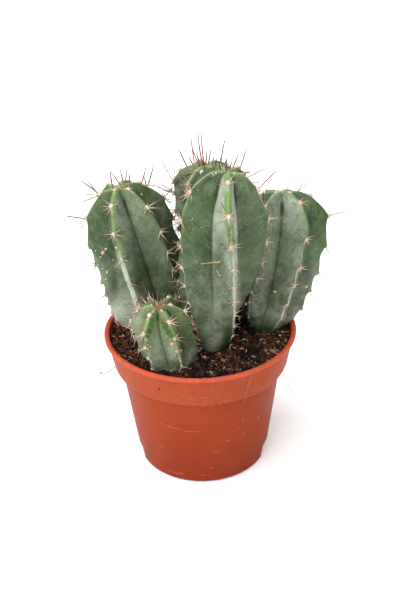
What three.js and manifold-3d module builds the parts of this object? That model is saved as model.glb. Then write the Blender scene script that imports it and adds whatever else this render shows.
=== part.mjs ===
// A cactus in its nursery pot: five ribbed, spined stems standing in peat.
// Millimetres, +Z up. The origin is the centre of the pot's underside, and
// the side shown to a viewer faces -Y.

import * as THREE from 'three';
import { mergeVertices } from 'three/addons/utils/BufferGeometryUtils.js';
import Module from 'manifold-3d';

const wasm = await Module();
wasm.setup();

// Clearance kept between pieces that touch
const GAP = 0.45;

// Pot
const POT_HEIGHT = 90.4;
const LIP_RADIUS = 60;
const LIP_HEIGHT = 2.8;
const WALL = 1.2;
const FLOOR = 2.4;
const COLLAR_TOP_RADIUS = 58.3;
const COLLAR_LOW_RADIUS = 54.9;
const COLLAR_BASE = 68.2;
const BODY_TOP_RADIUS = 50.6;
const BODY_LOW_RADIUS = 42.4;
const CORNER = 2.6;
const POT_SIDES = 42;

// Sloping recesses in the foot of the pot, each with a drain slot in the floor
// just inside it
const RECESS_HEIGHT = 9.6;
const RECESS_DEPTH = 6.4;
const RECESS_LEAD = 1.2;
const RECESS_HALF_ANGLE = 22;
const RECESS_AZIMUTHS = [-6, 84, 174];
const SLOT_INNER = 28.5;
const SLOT_OUTER = 33;
const SLOT_HALF_ANGLE = 8;

// Peat
const SOIL_LEVEL = 85.4;
const SOIL_RIM_DROP = 1.2;
const SOIL_ROUGHNESS = 0.7;
const SOIL_SIDES = 30;

// Stem heights are measured from this level
const GROUND = 86;
const ROOT_DEPTH = 13;
const CREST_HALF_WIDTH = 1.9;
const TOOTH = 0.6;
const PAD_RADIUS = 1.25;
const WIDEST_SPACING = 16.5;
const NEEDLE_RADIUS = 0.5;
const NEEDLE_ROOT = 1.4;
const TIP_NEEDLES = 4;
const SPREAD_NEEDLE = 8.5;
const LONG_NEEDLE = 14.5;
const LONG_NEEDLES = 3;

// Room kept round a pad, round a needle, and from needle to needle
const PAD_ROOM = 5;
const NEEDLE_ROOM = 3;
const NEEDLE_SPACING = 2.2;

// Each stem: foot at (x, y), number of ribs, lean and bend of its axis along x
// and y, height and dome above the ground, foot and full radius with the height where the
// full radius is reached, the groove's share of the radius, the height of the
// waist below which it draws in, the turn of its ribs at the ground and how
// far it twists on the way up, the depth of the pit at its tip, the heights of
// the first areoles, rib by rib, and the spacing of the rest, which grows with
// height.
const STEMS = [
  {
    name: 'stem_left', x: -27.1, y: 16.9, ribs: 6, lean: [-0.2125, -0.003], bend: [0.0001, -0.0002],
    height: 94.6, dome: 28.5, foot: 16, full: 26.8, fullAt: 18, swell: 1, groove: 0.514,
    waist: 12, turn: 24.2, twist: -9.3, pit: 2, first: [91.5, 87, 92.5, 91.6, 88.7, 92.8],
    spacing: [5.5, 0.15], areoles: 8,
  },
  {
    name: 'stem_centre', x: 6.6, y: -13, ribs: 5, lean: [0.069, -0.02], bend: [0.0003, -0.0001],
    height: 114.7, dome: 33.4, foot: 11.1, full: 26.2, fullAt: 76.5, swell: 1.06, groove: 0.487,
    waist: 0, turn: 23.7, twist: -46.1, pit: 2.7, first: [105.9, 112, 104.5, 101.5, 110.9],
    spacing: [5.6, 0.12], areoles: 10,
  },
  {
    name: 'stem_back', x: 8.2, y: 35.5, ribs: 6, lean: [0.005, 0.04], bend: [-0.0002, 0],
    height: 97.3, dome: 11.5, foot: 12.5, full: 21.1, fullAt: 90, swell: 1.15, groove: 0.47,
    waist: 8, turn: -4, twist: -2, pit: 2.5, first: [95, 91, 96, 93, 90, 96],
    spacing: [6.5, 0.13], areoles: 7,
  },
  {
    name: 'stem_right', x: 39.8, y: 7.4, ribs: 6, lean: [0.276, 0.048], bend: [-0.0017, 0.001],
    height: 86.5, dome: 21.4, foot: 13.5, full: 29.5, fullAt: 78.8, swell: 1.07, groove: 0.481,
    waist: 16.5, turn: -15, twist: 14.8, pit: 1.5, first: [82.3, 80, 83.5, 81, 86, 81.3],
    spacing: [7.5, 0.13], areoles: 7,
  },
  {
    name: 'stem_small', x: -16.7, y: -31, ribs: 6, lean: [-0.29, -0.063], bend: [0.0029, -0.001],
    height: 40.6, dome: 13.6, foot: 17.3, full: 17.3, fullAt: 22, swell: 1, groove: 0.6,
    waist: 8, turn: -5.9, twist: 3.5, pit: 2.4, first: [39.4, 37.8, 37, 37, 38.7, 35.9],
    spacing: [4.6, 0.13], areoles: 6,
  },
];

const degrees = THREE.MathUtils.degToRad;

// Repeatable random numbers from 0 to 1
function dice(seed) {
  let state = seed;
  return () => {
    state = (state * 1664525 + 1013904223) % 4294967296;
    return state / 4294967296;
  };
}

// A manifold solid from any closed three.js geometry
function solid(geometry) {
  const bare = new THREE.BufferGeometry();
  bare.setAttribute('position', geometry.getAttribute('position').clone());
  if (geometry.index) bare.setIndex(geometry.index.clone());
  const merged = mergeVertices(bare, 1e-4);
  const index = merged.index.array;
  const position = merged.getAttribute('position').array;
  const faces = [];
  for (let i = 0; i < index.length; i += 3) {
    const [a, b, c] = [index[i], index[i + 1], index[i + 2]];
    if (a !== b && b !== c && c !== a) faces.push(a, b, c);
  }
  return new wasm.Manifold(new wasm.Mesh({
    numProp: 3,
    vertProperties: new Float32Array(position),
    triVerts: new Uint32Array(faces),
  }));
}

// The largest body of a solid, as a three.js geometry
function toGeometry(manifold) {
  const bodies = manifold.decompose();
  bodies.sort((a, b) => b.volume() - a.volume());
  const mesh = bodies[0].getMesh();
  const geometry = new THREE.BufferGeometry();
  geometry.setAttribute('position', new THREE.BufferAttribute(new Float32Array(mesh.vertProperties), 3));
  geometry.setIndex(new THREE.BufferAttribute(new Uint32Array(mesh.triVerts), 1));
  geometry.computeVertexNormals();
  return geometry;
}

// A shape turned about +Z from [radius, height] pairs that start and end on
// the axis or close on themselves
function turned(profile, sides) {
  const points = profile.map(([radius, height]) => new THREE.Vector2(radius, height));
  return new THREE.LatheGeometry(points, sides).rotateX(Math.PI / 2);
}

function wallInside(z) {
  const t = (z - CORNER) / (COLLAR_BASE - CORNER);
  return BODY_LOW_RADIUS + (BODY_TOP_RADIUS - BODY_LOW_RADIUS) * t - WALL;
}

function collarInside(z) {
  const t = (z - COLLAR_BASE) / (POT_HEIGHT - LIP_HEIGHT - COLLAR_BASE);
  return COLLAR_LOW_RADIUS + (COLLAR_TOP_RADIUS - COLLAR_LOW_RADIUS) * t - WALL;
}

// The pot's outer form, tapered, with a wider collar and a rolled lip
function potBody() {
  const lipBase = POT_HEIGHT - LIP_HEIGHT;
  return solid(turned([
    [0, 0],
    [BODY_LOW_RADIUS - CORNER - 0.2, 0],
    [BODY_LOW_RADIUS - 1, CORNER * 0.3],
    [BODY_LOW_RADIUS, CORNER],
    [BODY_TOP_RADIUS, COLLAR_BASE - 1.4],
    [COLLAR_LOW_RADIUS - 0.9, COLLAR_BASE],
    [COLLAR_LOW_RADIUS, COLLAR_BASE + 1.2],
    [COLLAR_TOP_RADIUS, lipBase],
    [LIP_RADIUS - 0.3, lipBase + 0.4],
    [LIP_RADIUS, POT_HEIGHT - LIP_HEIGHT / 2],
    [LIP_RADIUS - 0.6, POT_HEIGHT],
    [0, POT_HEIGHT],
  ], POT_SIDES));
}

// The space inside the pot, which runs out above its lip
function potHollow() {
  const lipBase = POT_HEIGHT - LIP_HEIGHT;
  const above = POT_HEIGHT + 0.2;
  return solid(turned([
    [0, FLOOR],
    [wallInside(CORNER) - 2, FLOOR],
    [wallInside(CORNER + FLOOR), CORNER + FLOOR],
    [wallInside(COLLAR_BASE), COLLAR_BASE],
    [collarInside(COLLAR_BASE + 2), COLLAR_BASE + 2],
    [collarInside(lipBase), lipBase],
    [LIP_RADIUS - 2, above],
    [0, above],
  ], POT_SIDES));
}

// The part of a turned ring that lies within an angle of an azimuth
function arcOf(profile, azimuth, halfAngle) {
  const half = degrees(halfAngle);
  const reach = 2 * LIP_RADIUS;
  const wedge = new THREE.Shape([
    new THREE.Vector2(0, 0),
    new THREE.Vector2(reach * Math.cos(half), -reach * Math.sin(half)),
    new THREE.Vector2(reach * Math.cos(half), reach * Math.sin(half)),
  ]);
  const sector = new THREE.ExtrudeGeometry(wedge, { depth: 3 * RECESS_HEIGHT, bevelEnabled: false });
  sector.translate(0, 0, -RECESS_HEIGHT);
  sector.rotateZ(degrees(azimuth));
  return solid(turned(profile, POT_SIDES)).intersect(solid(sector));
}

// The sloping cut that a recess makes across the foot's corner, grown by a
// wall for the pot's inside
function recessCut(azimuth, wall = 0) {
  const slope = (RECESS_DEPTH + RECESS_LEAD) / RECESS_HEIGHT;
  const inner = BODY_LOW_RADIUS - RECESS_DEPTH - wall;
  const outer = LIP_RADIUS;
  const low = -1;
  const high = RECESS_HEIGHT + wall;
  const profile = [
    [inner + slope * low, low],
    [outer, low],
    [outer, high],
    [inner + slope * high, high],
    [inner + slope * low, low],
  ];
  return arcOf(profile, azimuth, RECESS_HALF_ANGLE + THREE.MathUtils.radToDeg(wall / BODY_LOW_RADIUS));
}

// A drain slot through the floor
function slotCut(azimuth) {
  const profile = [
    [SLOT_INNER, -1],
    [SLOT_OUTER, -1],
    [SLOT_OUTER, FLOOR + 1],
    [SLOT_INNER, FLOOR + 1],
    [SLOT_INNER, -1],
  ];
  return arcOf(profile, azimuth, SLOT_HALF_ANGLE);
}

// A thin shell that follows its recesses on the inside too
function potGeometry() {
  const slantWall = 1.3 * WALL;
  const cuts = RECESS_AZIMUTHS.map((azimuth) => recessCut(azimuth));
  const walls = RECESS_AZIMUTHS.map((azimuth) => recessCut(azimuth, slantWall));
  const outside = potBody().subtract(wasm.Manifold.union(cuts));
  const inside = potHollow().subtract(wasm.Manifold.union(walls));
  return toGeometry(outside.subtract(inside).subtract(wasm.Manifold.union(RECESS_AZIMUTHS.map(slotCut))));
}

// Lumps of the peat's surface, as a sum of slow waves
function soilRelief(x, y) {
  const waves = Math.sin(0.31 * x + 1.3) * Math.cos(0.27 * y - 0.4);
  const ripples = Math.sin(0.83 * x - 0.61 * y) + Math.cos(0.52 * x + 0.94 * y + 2);
  return SOIL_ROUGHNESS * (waves + 0.35 * ripples);
}

// Peat filling the pot, with a lumpy top and a plain hole for every stem
function soilGeometry() {
  const rimZ = SOIL_LEVEL - SOIL_RIM_DROP;
  const floorZ = FLOOR + GAP;
  const top = [48, 38, 27, 14].map((radius) => [radius, SOIL_LEVEL]);
  const body = turned([
    [0, floorZ],
    [BODY_LOW_RADIUS - RECESS_DEPTH - 1, floorZ],
    [wallInside(RECESS_HEIGHT + 2) - GAP, RECESS_HEIGHT + 2],
    [wallInside(COLLAR_BASE) - GAP, COLLAR_BASE + GAP],
    [collarInside(COLLAR_BASE + 2) - GAP - 0.1, COLLAR_BASE + 2.6],
    [collarInside(rimZ) - GAP, rimZ],
    ...top,
    [0, SOIL_LEVEL],
  ], SOIL_SIDES);
  const position = body.getAttribute('position');
  for (let i = 0; i < position.count; i += 1) {
    const z = position.getZ(i);
    if (z > rimZ + 0.1) {
      position.setZ(i, z + soilRelief(position.getX(i), position.getY(i)));
    }
  }
  let soil = solid(body);
  for (const stem of STEMS) soil = soil.subtract(stemBody(stem, GAP));
  return toGeometry(soil);
}

// Point of a stem's axis at a height above the ground
function axisPoint(stem, w) {
  return new THREE.Vector3(
    stem.x + stem.lean[0] * w + stem.bend[0] * w * w,
    stem.y + stem.lean[1] * w + stem.bend[1] * w * w,
    GROUND + w,
  );
}

// Unit vectors across and along a stem's axis
function axisFrame(stem, w) {
  const along = new THREE.Vector3(
    stem.lean[0] + 2 * stem.bend[0] * w,
    stem.lean[1] + 2 * stem.bend[1] * w,
    1,
  ).normalize();
  const across = new THREE.Vector3(1, 0, 0);
  across.addScaledVector(along, -across.dot(along)).normalize();
  return { across, side: along.clone().cross(across), along };
}

// Radius of the rib crests: a foot that swells to the full radius, pinched
// in below the ground, under an elliptic dome
function crestRadius(stem, w) {
  const rise = THREE.MathUtils.clamp((w + 12) / (stem.fullAt + 12), 0, 1);
  const body = stem.foot + (stem.full - stem.foot) * Math.sin((Math.PI / 2) * rise) ** stem.swell;
  const pinch = THREE.MathUtils.clamp((stem.waist - w) / 16, 0, 1);
  const dome = THREE.MathUtils.clamp((w - stem.height + stem.dome) / stem.dome, 0, 1);
  return body * (1 - 0.4 * pinch ** 2) * Math.sqrt(1 - dome ** 2);
}

function crestAngle(stem, rib, w) {
  return degrees(stem.turn + (stem.twist * w) / stem.height + (rib * 360) / stem.ribs);
}

// Height of a surface point, which sinks into the pit at the stem's tip
function pitted(stem, w, radius) {
  const near = THREE.MathUtils.clamp(1 - radius / (0.4 * stem.full), 0, 1);
  const top = THREE.MathUtils.clamp((w - stem.height + stem.dome) / stem.dome, 0, 1);
  return w - stem.pit * near * near * top;
}

// Surface point at a height, a radius and an angle round the axis
function stemPoint(stem, w, radius, angle) {
  const { across, side } = axisFrame(stem, w);
  return axisPoint(stem, pitted(stem, w, radius))
    .addScaledVector(across, radius * Math.cos(angle))
    .addScaledVector(side, radius * Math.sin(angle));
}

// Height reached from a start by following the crest down for a distance
function downCrest(stem, start, distance) {
  const step = 0.25;
  let w = start;
  let left = distance;
  while (left > 0) {
    const fall = crestRadius(stem, w - step) - crestRadius(stem, w);
    left -= Math.hypot(step, fall);
    w -= step;
  }
  return w;
}

// Areole heights down one rib: the gap between two grows with height
function areoleHeights(stem, rib) {
  const [least, growth] = stem.spacing;
  const heights = [stem.first[rib]];
  while (heights.length < stem.areoles) {
    const last = heights[heights.length - 1];
    const gap = Math.min((least + growth * last) / (1 + growth / 2), WIDEST_SPACING);
    heights.push(downCrest(stem, last, gap));
  }
  return heights;
}

// Rows down one rib, each a height and how far the crest stands out there:
// out at each areole, in just below it
function ribRows(stem, rib) {
  const heights = areoleHeights(stem, rib);
  const top = stem.height;
  const start = Math.asin(THREE.MathUtils.clamp((heights[0] - top + stem.dome) / stem.dome, 0.05, 0.98));
  const rows = [0.8, 0.5, 0.22].map((share) => {
    const turn = start + (Math.PI / 2 - start) * share;
    return { w: top - stem.dome + stem.dome * Math.sin(turn), tooth: 0 };
  });
  heights.forEach((w, i) => {
    const next = i + 1 < heights.length ? heights[i + 1] : w - stem.spacing[0];
    rows.push({ w, tooth: TOOTH });
    rows.push({ w: w + 0.33 * (next - w), tooth: -TOOTH });
  });
  const last = rows[rows.length - 1].w;
  rows.push({ w: (last - ROOT_DEPTH) / 2, tooth: 0 });
  rows.push({ w: -ROOT_DEPTH, tooth: 0 });
  return rows;
}

// The ribbed body of a stem as a solid, grown by an allowance for its hole
function stemBody(stem, allowance = 0) {
  const ribs = Array.from({ length: stem.ribs }, (_, rib) => ribRows(stem, rib));
  const count = ribs[0].length;
  const positions = [];
  const faces = [];
  const ringSize = stem.ribs * 4;
  const put = (w, radius, angle) => {
    const deep = allowance > 0 ? w - allowance * (w < -ROOT_DEPTH + 0.1 ? 1 : 0) : w;
    const p = stemPoint(stem, deep, radius, angle);
    positions.push(p.x, p.y, p.z);
  };
  for (let row = 0; row < count; row += 1) {
    for (let rib = 0; rib < stem.ribs; rib += 1) {
      const here = ribs[rib][row];
      const next = ribs[(rib + 1) % stem.ribs][row];
      const crest = crestRadius(stem, here.w);
      const radius = crest + here.tooth * Math.min(1, crest / 10) + allowance;
      const half = Math.min(CREST_HALF_WIDTH, 0.3 * crest) + allowance;
      const back = Math.max(radius - 0.8 * half, 0.6 * radius);
      const angle = crestAngle(stem, rib, here.w);
      put(here.w, Math.hypot(back, half), angle - Math.atan2(half, back));
      put(here.w, radius, angle);
      put(here.w, Math.hypot(back, half), angle + Math.atan2(half, back));
      const between = (here.w + next.w) / 2;
      const hollow = stem.groove * crestRadius(stem, between) + 1.6 * allowance;
      put(between, hollow, crestAngle(stem, rib + 0.5, between));
    }
  }
  const tip = stemPoint(stem, stem.height, 0, 0);
  const root = axisPoint(stem, -ROOT_DEPTH - allowance);
  positions.push(tip.x, tip.y, tip.z + allowance, root.x, root.y, root.z);
  const tipIndex = count * ringSize;
  for (let i = 0; i < ringSize; i += 1) {
    const j = (i + 1) % ringSize;
    faces.push(tipIndex, i, j);
    for (let row = 0; row + 1 < count; row += 1) {
      const a = row * ringSize;
      const b = a + ringSize;
      faces.push(a + i, b + i, b + j, a + i, b + j, a + j);
    }
    const low = (count - 1) * ringSize;
    faces.push(tipIndex + 1, low + j, low + i);
  }
  const geometry = new THREE.BufferGeometry();
  geometry.setAttribute('position', new THREE.Float32BufferAttribute(positions, 3));
  geometry.setIndex(faces);
  return solid(geometry);
}

// Frame of an areole on a rib's crest: its place and the way out of the rib,
// up along the crest and to the side
function areoleFrame(stem, rib, w) {
  const crest = (height) => {
    const radius = crestRadius(stem, height);
    return stemPoint(stem, height, radius, crestAngle(stem, rib, height));
  };
  const place = crest(w);
  const up = crest(Math.min(w + 0.5, stem.height - 0.3)).sub(crest(w - 1)).normalize();
  const outward = place.clone().sub(axisPoint(stem, w - 0.2 * crestRadius(stem, w)));
  outward.addScaledVector(up, -outward.dot(up)).normalize();
  const side = up.clone().cross(outward);
  return { place, outward, up, side };
}

// A three-sided needle from a root sunk under its areole to its point
function needle(root, tip) {
  const direction = tip.clone().sub(root);
  const length = direction.length();
  const cone = new THREE.ConeGeometry(NEEDLE_RADIUS, length, 3);
  cone.translate(0, length / 2, 0);
  const turn = new THREE.Quaternion().setFromUnitVectors(new THREE.Vector3(0, 1, 0), direction.normalize());
  cone.applyQuaternion(turn);
  cone.translate(root.x, root.y, root.z);
  return solid(cone);
}

// The woolly pad of an areole, a small flattened eight-faced bead
function pad(frame) {
  const bead = new THREE.OctahedronGeometry(PAD_RADIUS);
  bead.scale(0.9, 1, 0.75);
  const basis = new THREE.Matrix4().makeBasis(frame.side, frame.up, frame.outward);
  bead.applyMatrix4(basis);
  const seat = frame.place.clone().addScaledVector(frame.outward, TOOTH * 0.7);
  bead.translate(seat.x, seat.y, seat.z);
  return solid(bead);
}

// Whether a point lies in or close to a stem's ribbed body
function nearStem(stem, point, margin) {
  const w = point.z - GROUND;
  if (w > stem.height + margin) return false;
  const { across, side } = axisFrame(stem, w);
  const offset = point.clone().sub(axisPoint(stem, w));
  const radius = Math.hypot(offset.dot(across), offset.dot(side));
  const crest = crestRadius(stem, Math.min(w, stem.height - 1));
  if (radius > crest + margin) return false;
  const pitch = (2 * Math.PI) / stem.ribs;
  const turn = Math.atan2(offset.dot(side), offset.dot(across)) - crestAngle(stem, 0, w);
  const off = Math.abs(turn - pitch * Math.round(turn / pitch));
  const hollow = stem.groove * crest;
  const groove = new THREE.Vector2(hollow * Math.cos(pitch / 2), hollow * Math.sin(pitch / 2));
  const edge = new THREE.Vector2(crest - CREST_HALF_WIDTH, CREST_HALF_WIDTH);
  const slant = (groove.y - edge.y) * Math.cos(off) - (groove.x - edge.x) * Math.sin(off);
  const wall = Math.min(crest, (edge.x * groove.y - edge.y * groove.x) / slant);
  return radius < wall + margin;
}

// Shortest distance between two needles, sampled along both
function needleDistance(a, b) {
  const steps = [0, 0.25, 0.5, 0.75, 1];
  let least = Infinity;
  const p = new THREE.Vector3();
  const segment = new THREE.Line3(b.root, b.tip);
  const closest = new THREE.Vector3();
  for (const t of steps) {
    p.lerpVectors(a.root, a.tip, t);
    segment.closestPointToPoint(p, true, closest);
    least = Math.min(least, closest.distanceTo(p));
  }
  return least;
}

// A needle is kept where it stands clear of the peat, the pot, the other
// stems and their needles
function needleFits(stem, candidate, placed) {
  const { root, tip } = candidate;
  if (tip.z < POT_HEIGHT + 2.5 || root.z < POT_HEIGHT - 1) return false;
  const along = [0.2, 0.4, 0.6, 0.8, 1].map((t) => new THREE.Vector3().lerpVectors(root, tip, t));
  const others = STEMS.filter((other) => other !== stem);
  if (others.some((other) => along.some((p) => nearStem(other, p, NEEDLE_ROOM)))) return false;
  return placed.every((other) => other.stem === stem || needleDistance(other, candidate) > NEEDLE_SPACING);
}

// Directions and lengths of the needles of one areole: one or two that
// spread, and on the upper areoles one that stands out
function needlePlan(stem, rib, order, random) {
  const plan = [];
  const spread = order * 137.5 + rib * 97;
  const reach = SPREAD_NEEDLE + 2.5 * random();
  plan.push({ tilt: 62 + 12 * random(), turn: spread, length: reach });
  if ((order + rib) % 3 === 0) {
    plan.push({ tilt: 62 + 12 * random(), turn: spread + 150, length: 0.85 * reach });
  }
  if (order < LONG_NEEDLES) {
    const length = LONG_NEEDLE - 1.5 * order + random();
    plan.push({ tilt: 4 + 12 * random(), turn: 90 * (random() - 0.5), length });
  }
  return plan;
}

const placedNeedles = [];

// Needles of a stem, with the longest at its tip
function stemNeedles(stem, random) {
  const found = [];
  const offer = (frame, { tilt, turn, length }) => {
    const lift = Math.cos(degrees(tilt));
    const fan = Math.sin(degrees(tilt));
    const direction = frame.outward.clone().multiplyScalar(lift)
      .addScaledVector(frame.up, fan * Math.cos(degrees(turn)))
      .addScaledVector(frame.side, fan * Math.sin(degrees(turn)));
    const root = frame.place.clone().addScaledVector(frame.outward, -NEEDLE_ROOT);
    const candidate = { stem, root, tip: frame.place.clone().addScaledVector(direction, length) };
    if (needleFits(stem, candidate, placedNeedles)) {
      found.push(candidate);
      placedNeedles.push(candidate);
    }
  };
  for (let rib = 0; rib < stem.ribs; rib += 1) {
    areoleHeights(stem, rib).forEach((w, order) => {
      if (w < 1) return;
      const frame = areoleFrame(stem, rib, w);
      needlePlan(stem, rib, order, random).forEach((each) => offer(frame, each));
    });
  }
  const { along, across, side } = axisFrame(stem, stem.height);
  const tip = stemPoint(stem, stem.height, 0, 0);
  for (let i = 0; i < TIP_NEEDLES; i += 1) {
    const turn = degrees((360 * i) / TIP_NEEDLES + 40);
    const outward = along.clone();
    const up = across.clone().multiplyScalar(Math.cos(turn)).addScaledVector(side, Math.sin(turn));
    const place = tip.clone().addScaledVector(up, 1.6);
    const frame = { place, outward, up, side: up.clone().cross(outward) };
    offer(frame, { tilt: 10 + 6 * i, turn: 0, length: 13 + 1.2 * (TIP_NEEDLES - 1 - i) + stem.pit });
  }
  return found;
}

// A stem with its areoles and needles in one piece
function stemGeometry(stem, seed) {
  const random = dice(seed);
  const pieces = [stemBody(stem)];
  for (let rib = 0; rib < stem.ribs; rib += 1) {
    for (const w of areoleHeights(stem, rib)) {
      const frame = areoleFrame(stem, rib, w);
      const { x, y, z } = frame.place;
      const buried = z < SOIL_LEVEL + 3 || (z < POT_HEIGHT + 1.5 && Math.hypot(x, y) > 53);
      const squeezed = STEMS.some((other) => other !== stem && nearStem(other, frame.place, PAD_ROOM));
      if (!buried && !squeezed) pieces.push(pad(frame));
    }
  }
  for (const { root, tip } of stemNeedles(stem, random)) pieces.push(needle(root, tip));
  return toGeometry(wasm.Manifold.union(pieces));
}

function piece(name, geometry, color, roughness) {
  const material = new THREE.MeshStandardMaterial({ color, roughness, metalness: 0 });
  const mesh = new THREE.Mesh(geometry, material);
  mesh.name = name;
  return mesh;
}

const TERRACOTTA = 0xb9533a;
const PEAT = 0x33231c;
const GREENS = [0x5a7358, 0x62795f, 0x546b52, 0x667d68, 0x718a66];

const plant = new THREE.Group();
plant.add(piece('pot', potGeometry(), TERRACOTTA, 0.5));
plant.add(piece('soil', soilGeometry(), PEAT, 0.95));
STEMS.forEach((stem, i) => {
  plant.add(piece(stem.name, stemGeometry(stem, 11 + 7 * i), GREENS[i], 0.6));
});

export default plant;
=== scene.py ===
# %% [markdown]
# A potted clump of cactus stems
#
# The plant is five ribbed stems in a thin nursery pot of terracotta-coloured
# plastic, filled with peat. The pot, the peat and the stems already exist as
# plain solids at their real size. This notebook dresses them: every stem gets
# a smooth skin with its grooves, woolly areoles and spines, the pot gets its
# rolled lip and scuffs, and the peat gets crumbs, fibres and flakes.

# %% Load the frame
from itertools import combinations
import math
import bpy
import numpy as np
from mathutils import Matrix


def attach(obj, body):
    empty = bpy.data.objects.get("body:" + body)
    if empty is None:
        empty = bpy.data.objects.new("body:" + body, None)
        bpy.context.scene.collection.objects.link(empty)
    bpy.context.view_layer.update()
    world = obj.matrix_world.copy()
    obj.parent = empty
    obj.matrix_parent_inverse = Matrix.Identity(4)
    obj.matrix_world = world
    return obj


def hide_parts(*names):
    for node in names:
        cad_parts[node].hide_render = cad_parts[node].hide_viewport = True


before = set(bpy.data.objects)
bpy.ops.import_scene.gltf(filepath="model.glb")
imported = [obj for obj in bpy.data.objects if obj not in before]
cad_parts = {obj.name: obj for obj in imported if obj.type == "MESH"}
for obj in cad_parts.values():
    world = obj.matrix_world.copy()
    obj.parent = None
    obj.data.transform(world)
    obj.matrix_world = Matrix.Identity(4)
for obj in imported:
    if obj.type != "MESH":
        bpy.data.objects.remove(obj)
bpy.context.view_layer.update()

# %% [markdown]
# The camera comes first, because some spines are placed where the photograph
# shows their points. It looks down on the pot at about 29 degrees. A focal
# length in pixels of the 400 x 600 picture becomes a lens in millimetres on
# the 36 mm side of Blender's sensor, which here is the tall one.

# %% Camera
MM = 0.001
PICTURE_WIDTH = 400
PICTURE_HEIGHT = 600
SENSOR = 36.0
FOCAL_PIXELS = 892.5
CAMERA_TILT = math.radians(29.04)
CAMERA_ROLL = math.radians(-1.7)
CAMERA_DISTANCE = 550 * MM
AIM = np.array([0.46, 0.0, 109.05]) * MM
NEAREST_SEEN, FURTHEST_SEEN = 0.01, 20

forward = np.array([0.0, math.cos(CAMERA_TILT), -math.sin(CAMERA_TILT)])
level = np.array([1.0, 0.0, 0.0])
above = np.cross(level, forward)
picture_x = math.cos(CAMERA_ROLL) * level + math.sin(CAMERA_ROLL) * above
picture_y = math.cos(CAMERA_ROLL) * above - math.sin(CAMERA_ROLL) * level
eye = AIM - forward * CAMERA_DISTANCE


def stand(item, across, upwards, backwards, place):
    """Puts an object at a place, with its own axes along three directions."""
    pose = np.eye(4)
    pose[:3] = np.stack([across, upwards, backwards, place], -1)
    item.matrix_world = Matrix(pose.tolist())
    bpy.context.scene.collection.objects.link(item)


camera_data = bpy.data.cameras.new("camera")
camera_data.lens = FOCAL_PIXELS * SENSOR / PICTURE_HEIGHT
camera_data.sensor_width = SENSOR
camera_data.clip_start, camera_data.clip_end = NEAREST_SEEN, FURTHEST_SEEN
camera = bpy.data.objects.new("camera", camera_data)
stand(camera, picture_x, picture_y, -forward, eye)
bpy.context.scene.camera = camera
print("lens, mm:", round(camera_data.lens, 2), "eye:", np.round(eye, 3))


def ray_through(pixel):
    """Direction from the eye through a pixel: the focal length forwards, and
    the pixel's offset from the picture's centre across and down."""
    across = (pixel[0] - PICTURE_WIDTH / 2) / FOCAL_PIXELS
    down = (pixel[1] - PICTURE_HEIGHT / 2) / FOCAL_PIXELS
    ray = forward + across * picture_x - down * picture_y
    return ray / np.linalg.norm(ray)


def seen_at(points):
    """Pixel and depth at which the camera sees points given in metres."""
    offset = np.asarray(points) - eye
    depth = offset @ forward
    across = PICTURE_WIDTH / 2 + FOCAL_PIXELS * (offset @ picture_x) / depth
    down = PICTURE_HEIGHT / 2 - FOCAL_PIXELS * (offset @ picture_y) / depth
    return np.stack([across, down], -1), depth

# %% [markdown]
# Every shape below is an array of points and an array of faces. One helper
# puts them into a mesh, makes it smooth, and lets it ride on the only body.
# Masks that drive the colours, such as how near a crest is, go in as float
# attributes on the points.

# %% Mesh helpers
def put_mesh(name, points, faces, material, smooth=True):
    """Makes an object from points of shape (n, 3) and a list of face arrays,
    which may have different numbers of corners."""
    mesh = bpy.data.meshes.new(name)
    corners = [face for block in faces for face in block.tolist()]
    mesh.from_pydata(np.asarray(points).reshape(-1, 3).tolist(), [], corners)
    mesh.polygons.foreach_set("use_smooth", np.full(len(mesh.polygons), smooth))
    mesh.materials.append(material)
    mesh.update()
    piece = bpy.data.objects.new(name, mesh)
    bpy.context.scene.collection.objects.link(piece)
    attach(piece, "root")
    return piece


def put_mask(piece, name, values):
    """Stores one number a point, which a material reads by its name."""
    layer = piece.data.attributes.new(name, "FLOAT", "POINT")
    layer.data.foreach_set("value", np.asarray(values, dtype=np.float32).ravel())


def grid_faces(rows, columns, first=0):
    """Quads of a grid whose points run round the columns, row after row."""
    row, column = np.meshgrid(np.arange(rows - 1), np.arange(columns), indexing="ij")
    beside = (column + 1) % columns
    a = row * columns + column
    b = row * columns + beside
    return first + np.stack([a, b, b + columns, a + columns], -1).reshape(-1, 4)


def fan_faces(ring, centre, flip=False):
    """Triangles from a ring of point numbers to one centre point."""
    following = np.roll(ring, -1)
    order = [following, ring] if flip else [ring, following]
    return np.stack([*order, np.full(len(ring), centre)], -1)


def closed_grid(grid, first, last, turned=False):
    """Points and faces of a grid of shape (rows, columns, 3) that is closed by
    a fan from its first ring and another from its last. Turned round, the
    faces look the other way."""
    rows, columns = grid.shape[:2]
    count = rows * columns
    ring = np.arange(columns)
    walls = grid_faces(rows, columns)[:, :: -1 if turned else 1]
    near_fan = fan_faces(ring, count, flip=not turned)
    far_fan = fan_faces(ring + count - columns, count + 1, flip=turned)
    return np.concatenate([grid.reshape(-1, 3), [first, last]]), [walls, near_fan, far_fan]


def waves(points, size, seed, count=14):
    """Smooth noise from about -1 to 1: a sum of sine waves of the given size
    in random directions, so it needs no table and has no seam."""
    random = np.random.default_rng(seed)
    directions = random.normal(size=(count, 3))
    directions /= np.linalg.norm(directions, axis=1, keepdims=True)
    lengths = size * random.uniform(0.6, 1.6, count)
    phases = random.uniform(0, 2 * np.pi, count)
    turns = np.asarray(points) @ (directions / lengths[:, None]).T * 2 * np.pi + phases
    return np.sin(turns).sum(-1) / math.sqrt(count)


def smoothstep(low, high, value):
    """0 below low, 1 above high, and an even S-curve between them."""
    share = np.clip((value - low) / (high - low), 0, 1)
    return share * share * (3 - 2 * share)

# %% [markdown]
# A material here is a small graph of nodes. These helpers keep each graph to
# a few readable lines: one makes a node and fills its sockets, the others are
# the handful of nodes that every finish needs.

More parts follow.
